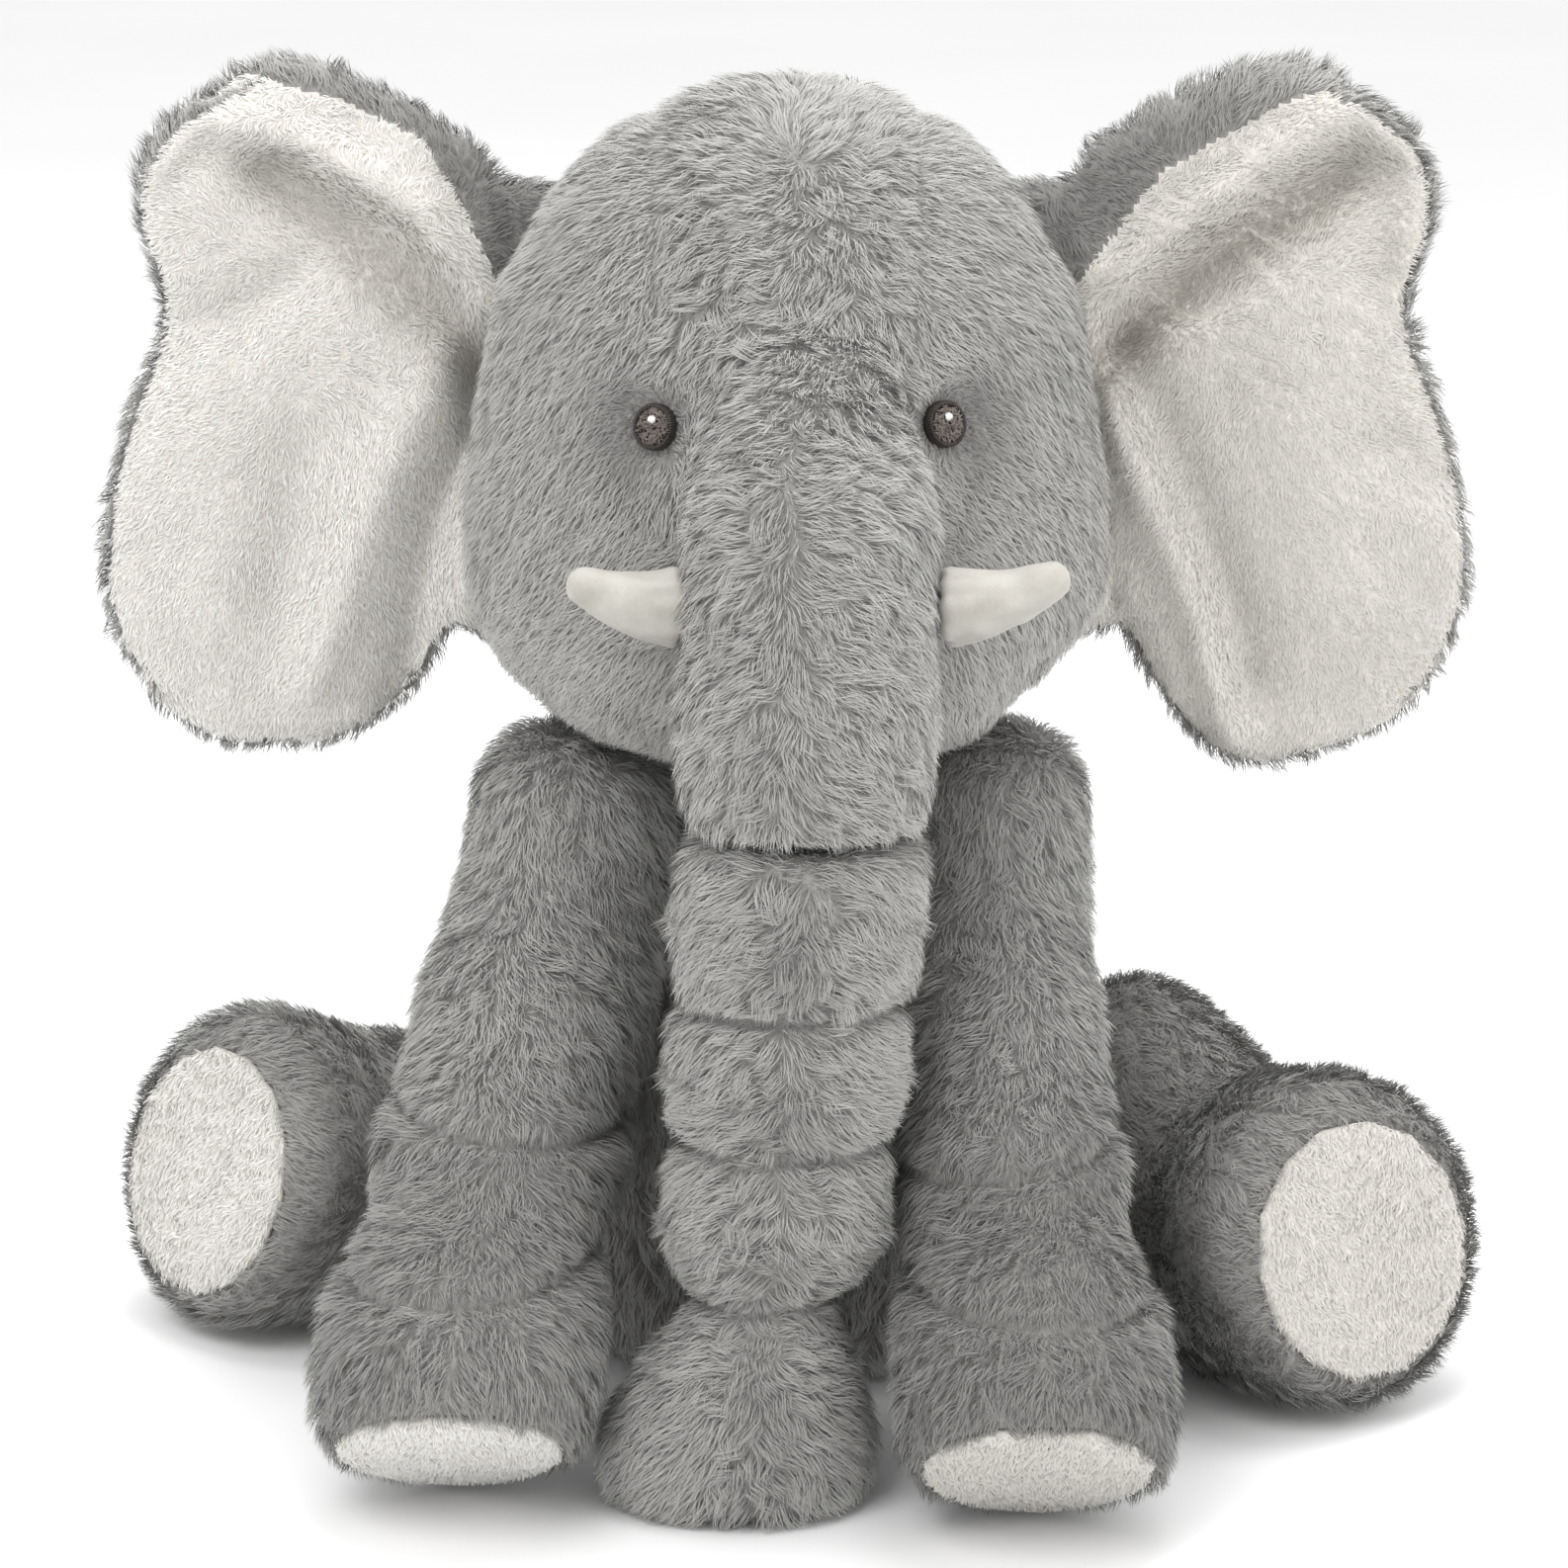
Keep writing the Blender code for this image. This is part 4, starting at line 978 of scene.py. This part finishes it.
# ridges and valleys of the lining, as (path of (out, height) shares of the ear's box, width, rise)
EAR_FORM = {
    "left": {
        "lip": [(0.0, 0.66), (0.05, 0.74), (0.19, 0.90), (0.40, 0.965), (0.60, 0.995), (1.0, 1.0)],
        "ridges": [
            ([(0.04, 0.64), (0.22, 0.785), (0.45, 0.875), (0.72, 0.93), (0.86, 0.84)], 6.0, 6.5),
            ([(0.07, 0.565), (0.19, 0.66), (0.40, 0.77), (0.56, 0.84)], 8.5, -11.0),
            ([(0.165, 0.592), (0.309, 0.416), (0.49, 0.128)], 7.5, 5.0),
            ([(0.034, 0.528), (0.19, 0.352), (0.294, 0.10)], 6.5, -6.0),
            ([(0.08, 0.42), (0.165, 0.161)], 6.0, 4.0),
            ([(0.90, 0.60), (0.66, 0.64), (0.50, 0.70)], 7.0, -4.0),
            ([(0.80, 0.76), (0.74, 0.80)], 15.0, 3.0),
            ([(0.74, 0.46), (0.70, 0.25)], 16.0, 3.5),
            ([(0.50, 0.46), (0.58, 0.24)], 9.0, -3.0),
        ],
    },
    "right": {
        "lip": [(0.0, 0.65), (0.03, 0.70), (0.238, 0.86), (0.506, 0.955), (0.70, 0.995), (1.0, 1.0)],
        "ridges": [
            ([(0.04, 0.64), (0.238, 0.75), (0.457, 0.854), (0.676, 0.936), (0.86, 0.88)], 6.0, 6.5),
            ([(0.10, 0.565), (0.25, 0.65), (0.42, 0.74), (0.66, 0.835)], 8.5, -11.0),
            ([(0.76, 0.83), (0.725, 0.70)], 6.5, -4.0),
            ([(0.068, 0.593), (0.19, 0.444), (0.36, 0.206), (0.433, 0.07)], 5.5, 5.5),
            ([(0.18, 0.578), (0.287, 0.414), (0.457, 0.146)], 8.0, -5.5),
            ([(0.56, 0.578), (0.64, 0.265)], 16.0, 4.0),
            ([(0.94, 0.40), (0.76, 0.46)], 7.0, -3.5),
            ([(0.90, 0.64), (0.86, 0.74)], 13.0, 3.0),
        ],
    },
}


def ear_pieces(name, seed):
    sign = SIDES[name]
    body = f"ear_{name}"
    parts = [f"{body}_back", f"{body}_wadding", f"{body}_lining", f"{body}_root_seam"]
    low, high = box(f"{body}_back")
    span, tall = high[0] - low[0], high[2] - low[2]
    inner = low[0] if sign > 0 else -high[0]
    form = EAR_FORM[name]

    def metric(p):
        return np.stack([p[:, 0] * sign - inner, p[:, 2] - low[2]], axis=1)

    def to_metric(path):
        return [(u * span, v * tall) for u, v in path]

    cushion = skin_from(f"{body}_cushion", parts, 3.2 * MM)
    puff(cushion, cap=1.2 * MM, slack=0.2 * MM, frames=14)
    refine(cushion)
    co, normal = points_of(cushion.data), normals_of(cushion.data)
    front = smooth(0.0, 0.5, -normal[:, 1])
    flat = metric(co)
    # the padding fills the ear out towards its edge, as far as the root allows
    spread = 4.2 * MM * smooth(6 * MM, 24 * MM, flat[:, 0])
    centre_out = np.array([span * 0.45, tall * 0.5])
    edgewards = np.linalg.norm((flat - centre_out) / np.array([span * 0.5, tall * 0.5]), axis=1)
    outwards = unit(flat - centre_out) * (spread * smooth(0.2, 0.9, edgewards))[:, None]
    co[:, 0] += outwards[:, 0] * sign
    co[:, 2] += outwards[:, 1]
    u, v = flat[:, 0] / span, flat[:, 1] / tall
    inner_top = smooth(0.17, 0.0, u) * smooth(0.55, 0.72, v)
    inner_foot = smooth(0.36, 0.06, u) * smooth(0.40, 0.16, v)
    corner = smooth(0.25, 0.42, u) * smooth(0.72, 0.52, u) * smooth(0.30, 0.08, v) * (sign > 0)
    co[:, 2] += 15 * MM * inner_top - 12 * MM * inner_foot - 6 * MM * corner
    rise = np.zeros(len(co))
    for path, width, height in form["ridges"]:
        rise += height * MM * bell(to_path(flat, to_metric(path)), width * MM)
    back_rise = np.clip(rise, -20 * MM, 20 * MM) * 0.55
    co[:, 1] -= np.where(normal[:, 1] < 0, rise * front, back_rise * 0.6)
    move_points(cushion, co)
    relax(cushion, 1)
    cushion.data.shade_smooth()
    cushion.data.materials.append(GREY_BACKING)
    cushion.data.materials.append(CREAM_BACKING)

    lip = np.array(to_metric(form["lip"]))

    def cream(p, n):
        """True on the lining: the front, below the rolled lip and inside the edge."""
        flat = metric(p)
        top = np.interp(flat[:, 0], lip[:, 0], lip[:, 1])
        return (n[:, 1] < -0.32) & (flat[:, 1] < top)

    faces = cushion.data.polygons
    centres = np.array([f.center for f in faces])
    facing = np.array([f.normal for f in faces])
    faces.foreach_set("material_index", cream(centres, facing).astype(np.int32))
    dress(cushion, body)

    middle = np.array([inner + span * 0.5, low[2] + tall * 0.52])

    def outward(p):
        v = unit(np.stack([p[:, 0] * sign - middle[0], p[:, 2] - middle[1]], axis=1))
        return np.stack([v[:, 0] * sign, np.zeros(len(p)), v[:, 1]], axis=1)

    def back_style(p, n):
        comb = outward(p) + np.array([sign * 0.25, 0, -0.35]) + 0.3 * swirl(p, 0.1, seed)
        flat = metric(p)
        near_head = smooth(0.55, 0.15, flat[:, 0] / span) * smooth(0.5, 0.7, flat[:, 1] / tall)
        # darker all over and most near the head: painted shade of the head, with airbrush
        return style_of(p, (8.2 - 2.0 * near_head) * MM, comb, keep=~cream(p, n), stand=0.56, pull=0.4,
                        curl=0.1, stray=0.3, soot=0.10 + 0.34 * near_head)

    def lining_style(p, n):
        flat = metric(p)
        wave = np.sin(flat[:, 1] * 800 + 2.2 * np.sin(flat[:, 0] * 230) + 1.3 * np.sin(flat[:, 1] * 170))
        comb = outward(p) * 0.6 + np.array([sign * 0.35, 0, -0.6]) + 0.45 * swirl(p, 0.06, seed)
        comb[:, 0] += 0.35 * wave
        # painted shade: the lining darkens in the hollow under the lip, and the right ear's lining is drawn
        # darker all over
        valley = form["ridges"][1][0]
        deep = bell(to_path(flat, to_metric(valley)), 9 * MM)
        return style_of(p, 2.9 * MM, comb, keep=cream(p, n), stand=0.46, pull=0.3, curl=0.04, stray=0.18,
                        soot=0.04 + (0.38 if sign > 0 else 0) + 0.5 * deep)

    fluff = grow(f"{body}_pile", cushion, back_style, 1.2, seed, GREY_PILE)
    dress(fluff, body)
    nap = grow(f"{body}_lining_pile", cushion, lining_style, 1.7, seed + 1, CREAM_PILE,
               width=0.34 * MM, clump_mm2=5.0)
    dress(nap, body)


ear_pieces("left", 81)
ear_pieces("right", 84)


# ---------------------------------------------------------------- tusks

for name, sign in SIDES.items():
    part = f"tusk_{name}"
    tusk = skin_from(f"tusk_{name}_cover", [part], 1.3 * MM)
    refine(tusk)
    low, high = box(part)
    root_x = high[0] if sign < 0 else low[0]

    def wrinkle(p):
        """Small puckers where the tusk is sewn into the face, fuller towards the root, and a faint ripple
        along it.
        """
        along = np.abs(p[:, 0] - root_x)
        angle = np.arctan2(p[:, 2] - (low[2] + high[2]) / 2, -(p[:, 1] - (low[1] + high[1]) / 2))
        pucker = 0.35 * MM * np.sin(angle * 9 + 1.0) * np.exp(-along / (9 * MM))
        fuller = 0.5 * MM + 0.7 * MM * np.exp(-along / (14 * MM))
        return fuller + pucker + 0.16 * MM * np.sin(p[:, 0] * 420 + 1.5 * np.sin(p[:, 2] * 500))

    carve(tusk, wrinkle)
    tusk.data.materials.append(SUEDE)
    dress(tusk, "head")


# ---------------------------------------------------------------- embroidered eyes

def threads(name, starts, ends, out, arch, radius, material, seed):
    """Stitches: short arched threads of a round section, pinched where they go into the cloth."""
    rng = np.random.default_rng(seed)
    count, rings, around = len(starts), 5, 6
    t = np.linspace(0, 1, rings)
    pinch = np.array([0.35, 0.9, 1.0, 0.9, 0.35])
    run = unit(ends - starts)
    side = np.cross(run, out)
    angle = np.arange(around) * 2 * math.pi / around
    verts = np.empty((count, rings, around, 3))
    for k in range(rings):
        middle = starts + (ends - starts) * t[k] + out * (arch * (1 - (2 * t[k] - 1) ** 2))
        ring = side[:, None] * np.cos(angle)[None, :, None] + out * np.sin(angle)[None, :, None]
        verts[:, k] = middle[:, None] + ring * (radius * pinch[k])
    faces = []
    for i in range(count):
        base = i * rings * around
        for k in range(rings - 1):
            for j in range(around):
                a, b = base + k * around + j, base + k * around + (j + 1) % around
                faces.append((a, b, b + around, a + around))
        faces.append(tuple(base + j for j in reversed(range(around))))
        faces.append(tuple(base + (rings - 1) * around + j for j in range(around)))
    mesh = bpy.data.meshes.new(name)
    mesh.from_pydata(verts.reshape(-1, 3).tolist(), [], faces)
    mesh.shade_smooth()
    add_shade(mesh, np.repeat(rng.random(count), rings * around))
    mesh.materials.append(material)
    return link(bpy.data.objects.new(name, mesh))


EYE_SHARE = 0.70  # the pile hides the rest of the stitching


def eye_pieces(name, seed):
    part = f"eye_{name}"
    co = points_of(nodes[f"{part}_outline"].data)
    centre = EYES[name]
    _, _, axes = np.linalg.svd(co - co.mean(0), full_matrices=False)
    out = axes[2] * (1 if axes[2][1] < 0 else -1)
    up = unit(np.array([0, 0, 1.0]) - out * out[2])
    across = np.cross(up, out)
    q = co - centre
    half_w, half_h = (EYE_SHARE * np.abs(q @ way).max() for way in (across, up))
    front = (q @ out).max() - 1.2 * MM
    rng = np.random.default_rng(seed)

    def at(x, y, height):
        return centre + np.outer(x, across) + np.outer(y, up) + out * (front + height)

    def dome(x, y):
        return -1.1 * MM * ((x / half_w) ** 2 + (y / half_h) ** 2)

    count = 54
    angle = np.arange(count) * 2 * math.pi / count
    rim = []
    for share in (1.0, 0.76):
        x, y = half_w * share * np.cos(angle), half_h * share * np.sin(angle)
        rim.append(at(x, y, 0) + out * dome(x, y)[:, None])
    outline = threads(f"{part}_outline_stitches", rim[0], rim[1], out, 0.5 * MM, 0.36 * MM, BROWN, seed)

    count = 190
    radius, turn = 0.74 * np.sqrt(rng.random(count)), rng.random(count) * 2 * math.pi
    x, y = half_w * radius * np.cos(turn), half_h * radius * np.sin(turn)
    way = rng.random(count) * math.pi
    reach = 1.1 * MM
    dx, dy = np.cos(way) * reach, np.sin(way) * reach
    layer = 0.1 * MM + 0.25 * MM * rng.random(count)
    rise = out * (dome(x, y) + layer - 0.35 * MM)[:, None]
    a, b = at(x - dx, y - dy, 0) + rise, at(x + dx, y + dy, 0) + rise
    iris = threads(f"{part}_iris_stitches", a, b, out, 0.35 * MM, 0.22 * MM, TAUPE, seed + 1)

    low, high = box(f"{part}_highlight")
    spot = ((low + high) / 2 - centre) * EYE_SHARE
    sx, sy = spot @ across, spot @ up
    offsets = np.linspace(-0.85, 0.85, 6) * MM
    tall = np.sqrt(np.maximum(0.0, (1.15 * MM) ** 2 - offsets ** 2))
    a = at(sx + offsets, sy - tall, 0) + out * (0.15 * MM)
    b = at(sx + offsets, sy + tall, 0) + out * (0.15 * MM)
    glint = threads(f"{part}_highlight_stitches", a, b, out, 0.35 * MM, 0.24 * MM, WHITE, seed + 2)

    # the cloth bed under the stitches closes any gap between them
    steps = 24
    ring = np.arange(steps) * 2 * math.pi / steps
    verts, faces = [], []
    for level, share in ((-2.2, 1.0), (-0.6, 0.96), (-0.2, 0.6)):
        x, y = half_w * share * np.cos(ring), half_h * share * np.sin(ring)
        verts += (at(x, y, level * MM) + out * dome(x, y)[:, None]).tolist()
    for k in range(2):
        for j in range(steps):
            a, b = k * steps + j, k * steps + (j + 1) % steps
            faces.append((a, b, b + steps, a + steps))
    faces.append(tuple(range(2 * steps, 3 * steps)))
    faces.append(tuple(reversed(range(steps))))
    mesh = bpy.data.meshes.new(f"{part}_bed")
    mesh.from_pydata(verts, [], faces)
    mesh.shade_smooth()
    add_shade(mesh, np.full(len(verts), 0.3))
    mesh.materials.append(BROWN)
    bed = link(bpy.data.objects.new(f"{part}_bed", mesh))
    for piece, thread, node in (
        (outline, "brown", f"{part}_outline"),
        (iris, "taupe", f"{part}_iris"),
        (glint, "white", f"{part}_highlight"),
        (bed, "brown", None),
    ):
        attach(piece, "head")
        if node:
            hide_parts(node)


eye_pieces("left", 91)
eye_pieces("right", 95)


# ---------------------------------------------------------------- tail and label

tail_skin = skin_from("tail_cord", ["tail_skin", "tail_tuft"], 1.6 * MM)
refine(tail_skin)
tail_skin.data.materials.append(GREY_BACKING)
dress(tail_skin, "tail")
tuft_low, tuft_high = box("tail_tuft")


def tail_style(p, n):
    low_end = smooth(tuft_high[2] + 6 * MM, tuft_low[2] + 4 * MM, p[:, 2])
    comb = np.array([0, 0.3, -1.0]) + 0.3 * swirl(p, 0.04)
    return style_of(p, 5 * MM + 9 * MM * low_end, comb, stand=0.45 - 0.15 * low_end, curl=0.12, stray=0.4)


tail_pile = grow("tail_pile", tail_skin, tail_style, 1.4, 101, GREY_PILE)
dress(tail_pile, "tail")

label_low, label_high = box("care_label")
rows, columns = 9, 3
label_verts, label_faces = [], []
for side in (-1, 1):
    for i in range(rows):
        share = i / (rows - 1)
        for j in range(columns):
            y = label_low[1] + (label_high[1] - label_low[1] + 6 * MM) * share
            z = label_high[2] - (label_high[2] - label_low[2]) * j / (columns - 1) - 2 * MM * share ** 2
            x = (label_low[0] + label_high[0]) / 2 + 1.4 * MM * math.sin(share * 2.4) + side * 0.25 * MM
            label_verts.append((x, y, z))
half = rows * columns
for side, start in ((0, 0), (1, half)):
    for i in range(rows - 1):
        for j in range(columns - 1):
            a = start + i * columns + j
            quad = (a, a + 1, a + columns + 1, a + columns)
            label_faces.append(quad if side == 0 else quad[::-1])
border = list(range(columns)) + [i * columns + columns - 1 for i in range(1, rows)]
border += [(rows - 1) * columns + j for j in reversed(range(columns - 1))]
border += [i * columns for i in reversed(range(1, rows - 1))]
for a, b in zip(border, border[1:] + border[:1]):
    label_faces.append((b, a, a + half, b + half))
label_mesh = bpy.data.meshes.new("care_label_tape")
label_mesh.from_pydata(label_verts, [], label_faces)
label_mesh.materials.append(TAPE)
label = link(bpy.data.objects.new("care_label_tape", label_mesh))
label_mesh.shade_smooth()
dress(label, "torso")
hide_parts("care_label")


# ---------------------------------------------------------------- floor, light and camera

floor_mat, floor_tree, plug = shader("floor_paper")
floor_tone = ramp(floor_tree, noise(floor_tree, 3, 2), [(0.3, grey(0.88)), (0.7, grey(0.9))])
plug(Base_Color=floor_tone, Roughness=0.9)
floor_mesh = bpy.data.meshes.new("floor")
FLOOR_HALF = 6.0
corners = [(FLOOR_HALF * x, FLOOR_HALF * y, 0) for x, y in ((-1, -1), (1, -1), (1, 1), (-1, 1))]
floor_mesh.from_pydata(corners, [], [(0, 1, 2, 3)])
floor_mesh.materials.append(floor_mat)
floor = link(bpy.data.objects.new("floor", floor_mesh))
floor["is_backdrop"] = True

world = bpy.data.worlds.new("studio")
world.use_nodes = True
background = world.node_tree.nodes["Background"]
background.inputs["Color"].default_value = (1, 1, 1, 1)
background.inputs["Strength"].default_value = 1.0
scene.world = world


def area_light(name, place, target, size, power):
    data = bpy.data.lights.new(name, "AREA")
    data.size = size
    data.energy = power
    ob = link(bpy.data.objects.new(name, data))
    ob.location = place
    ob.rotation_euler = (Vector(target) - Vector(place)).to_track_quat("-Z", "Y").to_euler()
    return ob


area_light("key", (-0.7, -1.1, 1.7), (0, 0, 0.15), 0.9, 15)
area_light("fill", (1.2, -0.9, 0.8), (0, 0, 0.15), 1.0, 6)
area_light("top", (0.1, 0.2, 1.7), (0, 0, 0.15), 1.0, 13)
area_light("rim", (0.9, 1.2, 0.9), (0, 0, 0.2), 0.8, 5)

camera_data = bpy.data.cameras.new("camera")
camera_data.sensor_width = 36
camera_data.lens = 114.65
camera = link(bpy.data.objects.new("camera", camera_data))
camera.location = (0, -1.352, 0.542)
camera.rotation_euler = (math.radians(74.5), 0, 0)
scene.camera = camera
scene.view_settings.view_transform = "Standard"
scene.view_settings.look = "None"

low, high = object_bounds()
